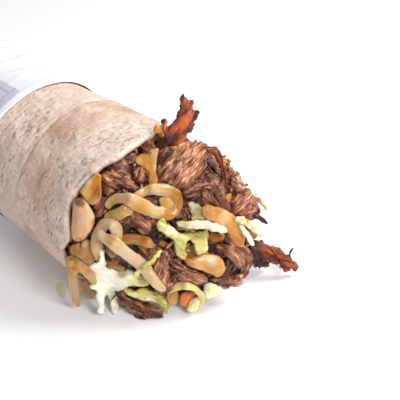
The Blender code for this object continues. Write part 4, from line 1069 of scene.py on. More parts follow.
# Ribbons: node: (route, (width, thickness) in mm, (roll at the start, at the end) in degrees, three paint
# values). The routes follow the model's, on the front sheet but for four on the side sheet.
SIDE_RIBBONS = ("onion_14", "onion_15", "cabbage_15", "cabbage_16")
RIBBONS = {
    "crisp_03": (
        [(204, 147), (215, 152), (221, 163), (224, 175), (226, 188)], (2.3, 1.8), (0, 0), (0.2, 0.3, 0),
    ),
    "crisp_04": ([(252, 213), (260, 218), (268, 224)], (2.2, 1.8), (0, 0), (0, 0.6, 0)),
    "meat_11": ([(216, 186), (221, 197), (229, 211)], (3.4, 3.0), (0, 0), (0.2, 0.2, 0.6)),
    "meat_12": ([(226, 243), (240, 249), (247, 260), (245, 271)], (4.8, 3.4), (-15, -15), (0.35, 0.1, 0.4)),
    "meat_13": ([(215, 246), (226, 250), (236, 258), (240, 268)], (4.2, 3.2), (-15, -15), (0.3, 0.15, 0.4)),
    "onion_07": ([(104, 218), (114, 216), (125, 211), (135, 206)], (4.4, 2.0), (20, 20), (0.45, 0.1, 0.2)),
    "onion_08": ([(119, 241), (131, 239), (143, 241), (154, 247)], (3.8, 2.0), (20, 0), (1, 0.35, 0)),
    "onion_09": ([(67, 257), (77, 264), (87, 273), (96, 284)], (3.9, 2.2), (0, 20), (0.65, 0.2, 0.1)),
    "onion_10": ([(71, 268), (73, 283), (75, 296), (78, 307)], (3.8, 1.8), (0, 0), (0.75, 0.35, 0.2)),
    "onion_11": (
        [(99, 262), (97, 247), (98, 233), (105, 224), (113, 225), (117, 233), (118, 244)],
        (4.4, 1.6), (20, -30), (0.3, 0, 0.45),
    ),
    "onion_12": (
        [(134, 197), (146, 191), (160, 190), (172, 194), (175, 204), (167, 213), (154, 212), (140, 205),
         (127, 199), (114, 200), (106, 208)],
        (4.8, 1.7), (25, -20), (0.45, 0, 0.2),
    ),
    "onion_13": (
        [(98, 230), (103, 237), (113, 243), (127, 254), (141, 265), (153, 279), (165, 291)],
        (4.6, 1.9), (15, -10), (0.2, 0, 0.75),
    ),
    "onion_14": ([(-12, 26), (-4, 16), (8, 12), (20, 18), (24, 34)], (4.4, 1.8), (20, -20), (0.4, 0, 0.1)),
    "onion_15": ([(14, -20), (26, -14), (32, 0), (32, 14)], (4.6, 1.9), (-15, 20), (0.5, 0, 0)),
    "cabbage_05": (
        [(168, 292), (180, 286), (193, 288), (201, 296), (198, 305), (189, 311)],
        (3.0, 1.3), (10, 30), (0.1, 0.7, 0.35),
    ),
    "cabbage_15": ([(-2, -10), (7, -6), (13, 4), (15, 16)], (4.2, 1.4), (15, 15), (0.7, 0.5, 0)),
    "cabbage_16": ([(-8, 46), (4, 43), (18, 49)], (4.0, 1.4), (0, 20), (0.3, 0.4, 0)),
    "cabbage_17": ([(58, 283), (61, 290), (65, 297)], (2.8, 1.2), (0, 10), (0.0, 0.25, 0)),
}
PAST_SURFACE = 0.01 * MM
RIBBON_STEP = 0.35 * MM
RIBBON_AROUND = 20
END_SHARE, END_TAPER = 0.5, 1 / 5
# How each food's strips look: arch of the section, ridges and crinkles in mm, share of the model's thickness,
# how uneven the width is.
LOOKS = {
    "onion": (0.12, 0.07, 0.16, 0.42, 0.12), "cabbage": (0.05, 0.05, 0.35, 0.65, 0.18),
    "crisp": (-0.10, 0.26, 0.60, 1.0, 0.45), "meat": (-0.04, 0.20, 0.30, 1.0, 0.14),
}


def centre_line(sheet, name, route):
    """The middle of a ribbon of the model: its drawn line, as deep as the sight lines cross the node."""
    line = smooth_route(route, RIBBON_STEP / SHEET_UNIT)
    tree = node_tree(name)
    depths, previous = [], None
    for point in line:
        middles = crossings(sheet, tree, point)
        if middles and previous is not None:
            middles.sort(key=lambda m: abs(m - previous))
        if middles:
            previous = middles[0]
        depths.append(middles[0] if middles else None)
    known = [i for i, d in enumerate(depths) if d is not None]
    depths = np.interp(range(len(line)), known, [depths[i] for i in known])
    padded = np.concatenate([np.full(3, depths[0]), depths, np.full(3, depths[-1])])
    depths = np.convolve(padded, np.ones(7) / 7, "valid")
    return line, [sheet.place(p.x, p.y, d) for p, d in zip(line, depths)]


def crossings(sheet, tree, point):
    """The heights of the middles of what a drawn point's sight line crosses."""
    toward = sheet.sight(point)
    start, hits = sheet.eye.copy(), []
    for _ in range(8):
        found = tree.ray_cast(start, toward)[0]
        if found is None:
            break
        hits.append(sheet.height(found))
        start = found + toward * PAST_SURFACE
    return [(a + b) / 2 for a, b in zip(hits[::2], hits[1::2])]


def make_ribbon(name):
    """One strip, in place of the model's plain one."""
    route, size, rolls, paint = RIBBONS[name]
    sheet = SIDE if name in SIDE_RIBBONS else FRONT
    kind = name.split("_")[0]
    arch, ridges, crinkles, flatness, unevenness = LOOKS[kind]
    seed = name_number(name) + int(name[-2:]) * 13
    width, thickness = size[0] * MM, size[1] * MM * flatness
    line, centres = centre_line(sheet, name, route)
    count = len(line)
    turns = ring_turns(RIBBON_AROUND)
    a, b = squared(np.cos(turns)), squared(np.sin(turns))
    stations = np.array([(p.x * 0.09, p.y * 0.09, seed) for p in line])
    waves, sways = rough_noise(stations, seed, 3), rough_noise(stations * 1.6, seed + 3, 2)
    points, grain, tint = [], [], []
    for i, centre in enumerate(centres):
        share = i / (count - 1)
        drawn = line[min(i + 1, count - 1)] - line[max(i - 1, 0)]
        side = (sheet.right * drawn.y + sheet.up * drawn.x).normalized()
        roll = math.radians(rolls[0] + (rolls[1] - rolls[0]) * share)
        across = side * math.cos(roll) + sheet.back * math.sin(roll)
        outward = sheet.back * math.cos(roll) - side * math.sin(roll)
        taper = END_SHARE + (1 - END_SHARE) * min(share, 1 - share, END_TAPER) / END_TAPER
        taper *= (0.4, 0.72, 0.9, 1)[min(i, count - 1 - i, 3)]
        half = width / 2 * taper * (1 + unevenness * waves[i])
        thin = thickness / 2 * (0.6 + 0.4 * taper)
        travelled = i * RIBBON_STEP / MM
        place = np.column_stack([a * 2.4 + seed, b * 0.8, np.full(len(a), travelled / 2.6)])
        crinkle = value_noise(place, seed) * crinkles * MM * 0.6
        fibre = value_noise(np.column_stack([a * 6 + seed, b * 3, np.full(len(a), travelled / 7)]), seed + 9)
        offset = b * thin * (1 - 0.35 * a * a) + ridges * MM * 2 * fibre + crinkle * (0.4 + 0.6 * a * a)
        offset -= arch * width * taper * (a * a - 0.4)
        middle = centre + across * (sways[i] * 0.25 * MM)
        points.append(np.array(middle) + np.outer(a * half, across) + np.outer(offset, outward))
        grain.append(np.column_stack([np.full(len(a), travelled + seed), a * half / MM, b * thin / MM]))
        edge, end = np.abs(a) ** 3, max(1 - min(share, 1 - share) * 9, 0)
        tint.append(strip_paint(kind, paint, a, edge, end, waves[i], sways[i], fibre))
    strip = Build()
    strip.add_tube(points, RIBBON_AROUND, grain, tint)
    strip.piece(name + "_strip", kind, [name])


def squared(values):
    """Round section values pushed out towards a rounded rectangle."""
    return np.sign(values) * np.abs(values) ** 0.7


def strip_paint(kind, paint, a, edge, end, wave, sway, fibre):
    """The paint values round one section of a strip."""
    values = np.tile(np.array(paint, float), (len(a), 1))
    if kind == "onion":
        values[:, 0] += 0.45 * wave + 0.35 * a - 0.3 * edge
        values[:, 1] += 0.12 * end * (0.5 + 0.5 * sway) + 0.12 * np.clip(a, 0, 1) * (0.5 + sway)
        values[:, 2] += 0.5 * edge + 0.35 * (0.3 - wave) - 0.25 * a
    elif kind == "cabbage":
        values[:, 0] *= 0.45 + 0.55 * np.clip(0.5 + 0.8 * a + 0.5 * wave, 0, 1)
        values[:, 2] += 0.3 * end
    else:
        # Meat and crisp: lighter on the raised fibres and darker with char in their grooves, as painted
        # highlight and painted shade; more char at the ends and where the strip is wide.
        values[:, 0] += 0.5 * fibre + 0.25 * sway
        values[:, 1] += 0.25 * np.clip(wave, 0, 1) + 0.3 * end - 0.35 * fibre
    return np.clip(values, 0, 1)


# How finely outlined pieces are made, and how each food's surface is shaped: lumps, fibres and ruffles in mm,
# how ragged the outline is in mm.
PATCH_STEP = 0.42 * MM
EDGE_ROUND = 0.62
DEPTH_SOFTNESS = 7
LEAF_LIFT = 1.0
DEPTH_RANGE = 1.6 * MM
TESTED_POINTS, AT_RIM = 500, 0.001
WOBBLE_SPAN, FIBRE_SPAN, LUMP_SPAN = (7, 3.4, 1), (7.5, 1.1, 1), (5.0, 2.2, 1)
ABOVE_FLOOR = 0.25 * MM
SHAPES = {
    "meat": (0.80, 0.62, 0.15, 0.55), "crisp": (0.55, 0.18, 0.30, 0.55), "onion": (0.18, 0.10, 0.20, 0.12),
    "cabbage": (0.10, 0.07, 0.60, 0.30), "carrot": (0.1, 0.1, 0, 0.1),
}


def rounded_outline(corners, step, ragged, seed):
    """A smooth closed line through the corners of an outline, a little ragged, in drawn units."""
    count, fine = len(corners), []
    for i in range(count):
        stops = [Vector(corners[(i + k) % count]) for k in (-1, 0, 1, 2)]
        pieces = max(round((stops[2] - stops[1]).length / step), 1)
        fine += [curve(*stops, n / pieces) for n in range(pieces)]
    line = np.array(fine)
    ahead = np.roll(line, -1, 0) - np.roll(line, 1, 0)
    sideways = np.column_stack([ahead[:, 1], -ahead[:, 0]]) / np.linalg.norm(ahead, axis=1)[:, None]
    bumps = rough_noise(np.column_stack([line / 3.2, np.full(len(line), seed)]), seed, 2)
    return line + sideways * (bumps * ragged)[:, None]


def inside_outline(points, line):
    """Which points lie inside a closed line."""
    x, y = points[:, 0][:, None], points[:, 1][:, None]
    x0, y0 = line[:, 0], line[:, 1]
    x1, y1 = np.roll(x0, -1), np.roll(y0, -1)
    crossing = ((y0 > y) != (y1 > y)) & (x < (x1 - x0) * (y - y0) / (y1 - y0 + 1e-12) + x0)
    return crossing.sum(1) % 2 == 1


def filled_outline(line, step):
    """Points and triangles that fill a closed line, and how far each point is from it."""
    low, high = line.min(0), line.max(0)
    columns = np.arange(low[0], high[0], step)
    rows = np.arange(low[1], high[1], step * 0.866)
    grid = np.array([(c + (i % 2) * step / 2, r) for i, r in enumerate(rows) for c in columns])
    grid = grid[inside_outline(grid, line)]
    gaps = np.sqrt(((grid[:, None] - line[None]) ** 2).sum(2)).min(1)
    grid = grid[gaps > step * 0.55]
    points = [Vector(p) for p in np.vstack([line, grid])]
    border = [(i, (i + 1) % len(line)) for i in range(len(line))]
    made = geometry.delaunay_2d_cdt(points, border, [], 1, 1e-4)
    points, faces = np.array([tuple(p) for p in made[0]]), [list(f) for f in made[2]]
    gaps = np.sqrt(((points[:, None] - line[None]) ** 2).sum(2)).min(1)
    return points, faces, gaps


def smooth_depths(known, depths, wanted):
    """Depths from a soft, local mean of known ones."""
    away = ((wanted[:, None] - known[None]) ** 2).sum(2)
    weight = 1 / (away + DEPTH_SOFTNESS**2) ** 2
    return weight @ depths / weight.sum(1)


def patch_depths(sheet, tree, points, tested, lift):
    """How deep a piece lies at its points: in the middle of a node, or that far above what is behind it."""
    found = []
    for point in tested:
        if lift is None:
            found += [(point, depth) for depth in crossings(sheet, tree, point)[:1]]
        else:
            found.append((point, front_height(sheet, tree, point) + lift * MM))
    known, depths = np.array([p for p, _ in found]), np.array([d for _, d in found])
    if lift is not None:
        usual = np.median(depths)
        depths = np.clip(depths, usual - DEPTH_RANGE, usual + DEPTH_RANGE)
    return smooth_depths(known, depths, points)


def two_sided(sheet, top, faces, inner):
    """The faces of both sides of a piece, whose lower side has points of its own inside the rim."""
    lower = np.where(inner, np.cumsum(inner) - 1 + len(top), np.arange(len(top))).tolist()
    a, b, c = (top[i] for i in faces[0])
    if (b - a).cross(c - a).dot(sheet.back) < 0:
        faces = [f[::-1] for f in faces]
    return faces + [[lower[i] for i in reversed(f)] for f in faces]


def add_patch(build, sheet, tree, row, kind, seed, lift=None):
    """Adds a rounded, uneven piece with a drawn outline, at the depth of a tree or lifted off it."""
    outline, thick, dome, turn, paint, spots = row
    lumps, fibres, ruffles, ragged = SHAPES[kind]
    step = PATCH_STEP / SHEET_UNIT
    line = rounded_outline(outline, step, ragged * MM / SHEET_UNIT, seed)
    points, faces, gaps = filled_outline(line, step)
    tested = points[gaps > step][:: max(len(points) // TESTED_POINTS, 1)]
    depths = patch_depths(sheet, tree, points, tested, lift)
    angle = math.radians(turn)
    x, y = points[:, 0] * SHEET_UNIT, -points[:, 1] * SHEET_UNIT
    along, across = x * math.cos(angle) + y * math.sin(angle), y * math.cos(angle) - x * math.sin(angle)
    mm = np.column_stack([along, across, np.full(len(x), seed * 7 * MM)]) / MM
    edge = gaps * SHEET_UNIT / MM
    round_share = np.clip(edge / (EDGE_ROUND * thick), 0, 1)
    half = thick / 2 * np.sqrt(1 - (1 - round_share) ** 2)
    bowl = dome * (np.sqrt(np.clip(edge / edge.max(), 0, 1)) - 0.6)
    wobble = rough_noise(mm / WOBBLE_SPAN, seed, 2)
    fibre = rough_noise(mm / FIBRE_SPAN, seed + 1, 2)
    lump = rough_noise(mm / LUMP_SPAN, seed + 2, 3)
    ruffle = ruffles * wobble * (0.4 + 0.6 * np.clip(1 - edge / 2.5, 0, 1))
    relief = (lumps * lump + fibres * fibre) * np.clip(edge / 0.7, 0, 1)
    depths = depths / MM + bowl + ruffle + (LEAF_LIFT if kind == "cabbage" else 0)
    values = patch_paint(kind, paint, spots, points, edge, fibre, lump, wobble)
    above, under = depths + half + relief, depths - half * 0.8 + relief * 0.4
    top, below = ([sheet.place(*p, h * MM) for p, h in zip(points, hs)] for hs in (above, under))
    inner = gaps >= AT_RIM
    places = np.array([tuple(p) for p in top] + [tuple(p) for p, k in zip(below, inner) if k])
    build.add(
        above_floor(sheet, places), two_sided(sheet, top, faces, inner),
        np.vstack([mm, mm[inner] + (0, 0, 1)]), np.vstack([values, values[inner]]),
    )


def above_floor(sheet, points):
    """Points moved towards the eye along their sight lines until they are off the table."""
    eye = np.array(sheet.eye)
    share = np.minimum((eye[2] - ABOVE_FLOOR) / (eye[2] - points[:, 2]), 1)
    return eye + (points - eye) * share[:, None]


def first_seen(sheet, tree, point):
    """The first place on a tree that a drawn point's sight line meets, if any."""
    return tree.ray_cast(sheet.eye, sheet.sight(point))[0]


def front_height(sheet, tree, point):
    """The height of the first thing on a drawn point's sight line, or where the line passes nearest to it."""
    found = first_seen(sheet, tree, point)
    if found is not None:
        return sheet.height(found)
    stops = [sheet.place(point[0], point[1], h * MM) for h in range(-20, 60, 2)]
    return sheet.height(min(stops, key=lambda p: tree.find_nearest(p)[3]))


def patch_paint(kind, paint, spots, points, edge, fibre, lump, wobble):
    """The paint values of an outlined piece: its own, its painted spots, some of them painted highlights, and
    unevenness, which on meat and crisp is painted highlight and shade on its relief.
    """
    values = np.tile(np.array(paint, float), (len(points), 1))
    for right, down, reach, spot in spots:
        away = np.hypot(points[:, 0] - right, points[:, 1] - down) / reach + 0.25 * wobble
        share = (1 - smoothstep(0.45, 1.25, away))[:, None]
        values = values * (1 - share) + np.array(spot, float) * share
    near_edge = np.clip(1 - edge / 0.8, 0, 1)
    if kind in ("meat", "crisp"):
        # Lighter on raised fibres and lumps, darker with char in their dips: painted highlight and painted
        # shade on the relief; a little more char near the edge.
        values[:, 0] += 0.4 * fibre + 0.3 * lump
        values[:, 1] += -0.35 * fibre - 0.4 * lump + 0.1 * near_edge
        values[:, 2] += 0.3 * wobble
    elif kind == "onion":
        values[:, 0] += 0.5 * wobble - 0.2 * near_edge
        values[:, 1] += 0.12 * np.clip(wobble, 0, 1)
        values[:, 2] += 0.3 * lump + 0.35 * near_edge
    else:
        values[:, 0] *= np.clip(0.85 + 0.9 * wobble, 0, 1.3)
        values[:, 1] += 0.15 * lump
    return np.clip(values, 0, 1)


def make_outlined(name):
    """A piece in place of some nodes of the model, shaped by its drawn outline."""
    nodes, *row = OUTLINES[name]
    kind = nodes[0].split("_")[0]
    build = Build()
    add_patch(build, FRONT, node_tree(*nodes), row, kind, name_number(name) % SEED_RANGE)
    if kind == "meat" or name in FRAYED:
        add_fibres(build, name, row)
    build.piece(name, kind, nodes)


# Fibres that lie along the grain on a piece of meat.
FIBRE_SIDES, FIBRE_STEP = 7, 0.7 * MM
FIBRES_PER_AREA = 0.035
COARSE_FIBRE = ((5, 10), (0.7, 1.3))
FRAYED = ("crisp_lying",)


def add_fibre(build, tree, start, way, length, thick, paint, rng, sunk, fray):
    """One blunt fibre, half sunk in a surface, that may stand off it at its far end."""
    count = max(int(length / FIBRE_STEP), 4)
    spots, outs, place, way = [], [], Vector(start), Vector(way).normalized()
    for i in range(count + 1):
        found, normal, _, distance = tree.find_nearest(place)
        if outs and (distance > 0.9 * MM or normal.dot(outs[-1]) < 0.35):
            normal = outs[-1]
        else:
            place = found + normal * (thick * (0.5 - sunk))
            way = (way - normal * way.dot(normal)).normalized()
        outs.append(normal.copy())
        spots.append(place.copy())
        way = (way + stray(rng, 0.05)).normalized()
        place = place + way * FIBRE_STEP
    count = len(spots)
    turns = ring_turns(FIBRE_SIDES)
    bend, phase = rng.uniform(0, fray), rng.uniform(0, 99)
    points, grain = [], []
    for i, (spot, out) in enumerate(zip(spots, outs)):
        share = i / (count - 1)
        ahead = spots[min(i + 1, count - 1)] - spots[max(i - 1, 0)]
        side = ahead.cross(out).normalized()
        raised = spot + out * bend * MM * max(share * 2 - 1.2, 0) ** 2 * 3
        raised -= out * thick * 0.6 * max(0.3 - share, 0) / 0.3
        radius = thick / 2 * min(1, 0.5 + 3 * share, 0.55 + 3 * (1 - share))
        radius *= 1 + 0.15 * math.sin(share * 11 + phase)
        rim = np.outer(np.cos(turns) * radius, side) + np.outer(np.sin(turns) * radius * 0.8, out)
        points.append(np.array(raised) + rim)
        travelled = i * FIBRE_STEP / MM + phase
        turned = np.column_stack([np.cos(turns), np.sin(turns)]) * radius / MM
        grain.append(np.column_stack([np.full(FIBRE_SIDES, travelled), turned + phase]))
    build.add_tube(points, FIBRE_SIDES, grain, paint)


def spread_on(points, faces, count, rng, keep):
    """Random places on a mesh, even by area, where keep(place, normal) says yes."""
    triangles = [(f[0], f[i], f[i + 1]) for f in faces for i in range(1, len(f) - 1)]
    corners = [tuple(Vector(points[k]) for k in t) for t in triangles]
    total = list(itertools.accumulate(((b - a).cross(c - a)).length for a, b, c in corners))
    found = []
    for _ in range(count * 30):
        if len(found) == count:
            break
        a, b, c = corners[min(bisect.bisect(total, rng.uniform(0, total[-1])), len(corners) - 1)]
        u, v = rng.random(), rng.random()
        if u + v > 1:
            u, v = 1 - u, 1 - v
        spot, normal = a + (b - a) * u + (c - a) * v, (b - a).cross(c - a).normalized()
        if keep(spot, normal):
            found.append((spot, normal))
    return found


def varied(paint, rng, spread):
    """Paint values near the given ones."""
    return tuple(min(max(v + rng.gauss(0, spread), 0), 1) for v in paint)


def add_fibres(build, name, row):
    """Coarse fibres over an outlined piece of meat."""
    rng = random.Random(name + str(SEED))
    outline, _, _, turn, paint, _ = row
    points, faces = np.concatenate(build.points), build.faces
    tree = BVHTree.FromPolygons(points.tolist(), faces)
    along = FRONT.way(turn)
    x, y = np.array(outline).T
    area = abs(np.dot(x, np.roll(y, -1)) - np.dot(y, np.roll(x, -1))) / 2 * (SHEET_UNIT / MM) ** 2
    count = int(area * FIBRES_PER_AREA) + 4
    for spot, _ in spread_on(points, faces, count, rng, lambda p, n: n.dot(FRONT.back) > 0.1):
        way = along * rng.choice((-1, 1)) + stray(rng, 0.06)
        length, size = sizes(rng, COARSE_FIBRE)
        start, shade = spot - way * length * 0.4, varied(paint, rng, 0.13)
        add_fibre(build, tree, start, way, length, size, shade, rng, 0.55, 0.5)


# Side pieces that only show from the far side: node: (turn of the grain in degrees, paint values).
SIDE_PIECES = {
    "meat_14": (35, (0.5, 0, 0.2)), "meat_15": (-30, (0.4, 0.1, 0.2)), "meat_16": (15, (0.45, 0.1, 0.2)),
}


def refined(name, levels):
    """A node's points, normals and faces, welded and subdivided smooth, in the roll's own frame."""
    points, faces = node_mesh(name)
    mesh = bpy.data.meshes.new("work")
    body = bmesh.new()
    corners = [body.verts.new(p) for p in points]
    for face in faces:
        body.faces.new([corners[i] for i in face])
    bmesh.ops.remove_doubles(body, verts=body.verts, dist=0.01 * MM)
    bmesh.ops.join_triangles(body, faces=body.faces, angle_face_threshold=0.7, angle_shape_threshold=0.7)
    body.to_mesh(mesh)
    body.free()
    work = new_object("work", mesh)
    smooth = work.modifiers.new("smooth", "SUBSURF")
    smooth.levels = smooth.render_levels = levels
    seen = work.evaluated_get(bpy.context.evaluated_depsgraph_get()).to_mesh()
    places, normals = np.zeros(len(seen.vertices) * 3), np.zeros(len(seen.vertices) * 3)
    seen.vertices.foreach_get("co", places)
    seen.vertex_normals.foreach_get("vector", normals)
    faces = [list(p.vertices) for p in seen.polygons]
    bpy.data.objects.remove(work)
    bpy.data.meshes.remove(mesh)
    return places.reshape(-1, 3), normals.reshape(-1, 3), faces


def make_side_piece(name):
    """A slab of meat on the far side of the heap, rough along its grain."""
    turn, paint = SIDE_PIECES[name]
    seed = int(name[-2:])
    points, normals, faces = refined(name, 3)
    along = np.array(SIDE.way(turn))
    across = np.cross(np.array(SIDE.back), along)
    local = points @ np.stack([along, across, np.array(SIDE.back)]).T / MM
    fibre = rough_noise(local / np.array([5.5, 0.85, 0.85]), seed, 2)
    lump = rough_noise(local / np.array([3.6, 2.4, 2.4]), seed + 2, 3)
    lift = (0.45 * fibre + 0.6 * lump) * MM
    values = np.tile(np.array(paint, float), (len(points), 1))
    # Painted highlight and shade: lighter on the raised fibres and lumps, darker with char in their dips.
    values[:, 0] += 0.45 * fibre + 0.2 * lump
    values[:, 1] += -0.35 * fibre - 0.3 * lump
    build = Build()
    build.add(points + normals * lift[:, None], faces, local, np.clip(values, 0, 1))
    build.piece(name + "_slab", "meat", [name])


# The heap behind the named pieces.
HEAP_START = 7 * MM
MOUTH_INSIDE = 3.0 * MM
HEAP_CHUNKS, HEAP_CRUMBS, HEAP_FIBRES = 330, 380, 90
AMBER_BITS = 45
HEAP_SLABS = 80
CORE_LUMP, CORE_LUMP_SPAN = 0.8 * MM, 4.2 * MM
# Length, width and thickness of chunks, slabs, crumbs and amber bits, and of loose fibres, in mm.
CHUNK_SIZE, SLAB_SIZE = ((4.5, 10), (2.0, 4.6), (1.4, 3.0)), ((9, 15), (5, 8), (2.0, 3.2))
CRUMB_SIZE, AMBER_SIZE = ((0.8, 2.2),) * 3, ((3, 7), (1.6, 3.2), (0.7, 1.3))
LOOSE_FIBRE = ((3, 7), (0.7, 1.3))
CHUNK_FINE, CRUMB_FINE = (18, 16), (9, 8)
STRIP_CLEAR, STRIP_SINK = 3.2 * MM, 2.2
UNCOVERED = ("onion", "cabbage", "crisp", "carrot")
CHUNK_PAINTS = ((0.25, 0.25, 0.3), (0.4, 0.1, 0.3), (0.55, 0.0, 0.2), (0.35, 0.1, 0.6), (0.15, 0.5, 0.2))


def add_chunk(build, middle, along, outward, size, paint, seed, fine):
    """A torn chunk of meat: a bent, lumpy bar with coarse fibres along it and blunt, ragged ends."""
    length, width, thickness = size
    rings, sides = fine
    across = along.cross(outward).normalized()
    t = np.repeat(np.linspace(-1, 1, rings), sides)
    turn = np.tile(ring_turns(sides), rings)
    a, b = np.cos(turn), np.sin(turn)
    full = np.clip(1 - np.abs(t) ** 5 * 0.75, 0, 1)
    place = np.column_stack([a * 1.6, b * 1.6, t * length / (5 * MM)]) + seed * 7.3
    fibre = rough_noise(place * np.array([2.2, 2.2, 0.35]), 3, 2)
    lump = rough_noise(place * 0.9, 5, 2)
    shape = full * (1 + 0.20 * fibre + 0.35 * lump)
    bend = math.sin(seed * 2.7) * 0.25
    ends = t * length / 2 * (1 + 0.12 * fibre * np.abs(t) ** 3)
    out = b * thickness / 2 * shape - 0.1 * t * t * length / 2
    side = a * width / 2 * shape + bend * t * t * length / 2
    points = np.array(middle) + np.outer(ends, along) + np.outer(side, across) + np.outer(out, outward)
    values = np.tile(np.array(paint, float), (len(t), 1))
    # Painted highlight and shade: lighter on raised fibres and lumps, darker in their dips and on the
    # underside that faces the heap.
    values[:, 0] += 0.4 * fibre + 0.3 * lump
    values[:, 1] += -0.3 * fibre - 0.3 * lump + 0.5 * np.clip(-b, 0, 1)
    grain = np.column_stack([ends, side, out]) / MM + seed
    build.add_tube(points, sides, grain, np.clip(values, 0, 1))


def kept_inside(points):
    """Points drawn in where they would pass through the bread's mouth."""
    y, z = points[:, 1], points[:, 2] - AXIS_HEIGHT
    degrees = np.degrees(np.arctan2(z, y))
    reach = np.array([mouth_reach(d) for d in degrees])
    radius = np.array([between(ROLL_RADIUS, x) for x in points[:, 0]]) - MOUTH_INSIDE
    behind = smoothstep(1.5 * MM, -0.5 * MM, points[:, 0] - reach)
    scale = np.minimum(radius / np.maximum(np.hypot(y, z), 1e-6), 1)
    scale = 1 + (scale - 1) * behind
    return np.column_stack([points[:, 0], y * scale, z * scale + AXIS_HEIGHT])


def heap_core():
    """The rough core of the heap, painted nearly black-brown as painted shade for the deep gaps between the
    pieces.
    """
    core = Build()
    points, normals, faces = refined("meat_filling", 2)
    lumps = rough_noise(points / CORE_LUMP_SPAN, 71, 3)
    shown = np.clip((points[:, 0] - HEAP_START) / (4 * MM), 0, 1)
    points = points + normals * (CORE_LUMP * lumps * shown)[:, None]
    # Painted shade: the char tint near full, less on the raised lumps, which are also painted lighter.
    tint = np.column_stack([0.05 + 0.3 * lumps, 1.0 - 0.35 * lumps, 0.3 + 0.2 * lumps])
    core.add(points, faces, points / MM, np.clip(tint, 0, 1))
    return core


def add_heap_chunk(build, number, spot, normal, lean, covered, rng):
    """One torn chunk on the heap; the first ones are slabs, and those below strips are sunk."""
    size = sizes(rng, CHUNK_SIZE)
    if number < HEAP_SLABS:
        size = sizes(rng, SLAB_SIZE)
    tilt = (lean + normal * rng.gauss(0, 0.18)).normalized()
    out = tilt.cross(lean.cross(normal)).normalized()
    if out.dot(normal) < 0:
        out = -out
    height = rng.uniform(-0.8, 1.0) - (STRIP_SINK if covered else 0)
    light, char_and_shade, red = varied(rng.choice(CHUNK_PAINTS), rng, 0.08)
    # Painted shade: the lower a chunk lies, the darker it is painted.
    paint = (light, min(char_and_shade + 0.4 * max(0.3 - height, 0), 1), red)
    add_chunk(build, spot + normal * height * MM, tilt, out, size, paint, number, CHUNK_FINE)


def make_heap():
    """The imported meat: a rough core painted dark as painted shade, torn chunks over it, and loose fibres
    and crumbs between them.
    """
    rng = random.Random(SEED)
    chunks, crumbs = Build(), Build()
    strips = node_tree(*[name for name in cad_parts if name.split("_")[0] in UNCOVERED])
    points, faces = node_mesh("meat_filling")
    tree = BVHTree.FromPolygons(points, faces)
    on_heap = spread_on(
        points, faces, HEAP_CHUNKS + HEAP_FIBRES + HEAP_CRUMBS, rng,
        lambda p, n: p.x > HEAP_START and p.z > 1.5 * MM,
    )
    for number, (spot, normal) in enumerate(on_heap):
        lean = leaning(normal, rng)
        covered = strips.find_nearest(spot)[3] < STRIP_CLEAR
        if number < HEAP_CHUNKS:
            add_heap_chunk(chunks, number, spot, normal, lean, covered, rng)
        elif number < HEAP_CHUNKS + HEAP_FIBRES:
            paint = varied(rng.choice(CHUNK_PAINTS), rng, 0.1)
            length, thick = sizes(rng, LOOSE_FIBRE)
            add_fibre(crumbs, tree, spot, lean, length, thick, paint, rng, -0.4, 1.0)
        else:
            size = sizes(rng, CRUMB_SIZE)
            paint = varied(rng.choice(CHUNK_PAINTS), rng, 0.2)
            lowest = -1.5 if covered else 0.3
            place = spot + normal * rng.uniform(lowest, lowest + 1.7) * MM
            add_chunk(crumbs, place, lean, normal, size, paint, number, CRUMB_FINE)
    for name, build in (("meat_heap", heap_core()), ("meat_chunks", chunks), ("meat_crumbs", crumbs)):
        build.points = [kept_inside(np.concatenate(build.points))]
        build.piece(name, "meat", ["meat_filling"])


# Tufts of hair-thin threads on torn meat: (finish, drawn middle, drawn reach, threads, their way in degrees,
# longest in mm, paint values).
TUFTS = (
    ("crisp", (254, 258), 8, 70, -40, 3.6, (0.0, 0.75, 0)),
    ("crisp", (272, 262), 9, 34, -60, 2.4, (0.1, 0.6, 0)),
    ("meat", (207, 152), 8, 40, 20, 3.6, (0.9, 0.0, 0)),
    ("meat", (254, 203), 9, 46, 5, 3.4, (0.8, 0.0, 0.1)),
    ("meat", (188, 145), 9, 26, 70, 2.6, (0.7, 0.0, 0)),
    ("meat", (226, 192), 9, 34, 30, 3.0, (0.7, 0.1, 0.2)),
    ("meat", (232, 278), 10, 34, -60, 2.8, (0.4, 0.2, 0.2)),
    ("meat", (228, 172), 9, 30, 30, 3.0, (0.7, 0.1, 0)),
)
THREAD_THICK, THREAD_STEPS, THREAD_SIDES = 0.34 * MM, 7, 5
THREAD_SPREAD_DEG = 45


def add_thread(build, start, way, length, out, rng, paint):
    """One hair-thin thread that starts in a surface and bends as it leaves it."""
    turns, bend = ring_turns(THREAD_SIDES), stray(rng, 0.9)
    place, points, grain = start - out * THREAD_THICK, [], []
    for i in range(THREAD_STEPS):
        share = i / (THREAD_STEPS - 1)
        ahead = (way + bend * share).normalized()
        side = ahead.cross(out).normalized()
        radius = THREAD_THICK / 2 * (1 - 0.6 * share)
        top = side.cross(ahead)
        rim = np.outer(np.cos(turns) * radius, side) + np.outer(np.sin(turns) * radius, top)
        points.append(np.array(place) + rim)
        grain.append(np.full((THREAD_SIDES, 3), share * length / MM))
        place = place + ahead * length / (THREAD_STEPS - 1)
    build.add_tube(points, THREAD_SIDES, grain, paint)


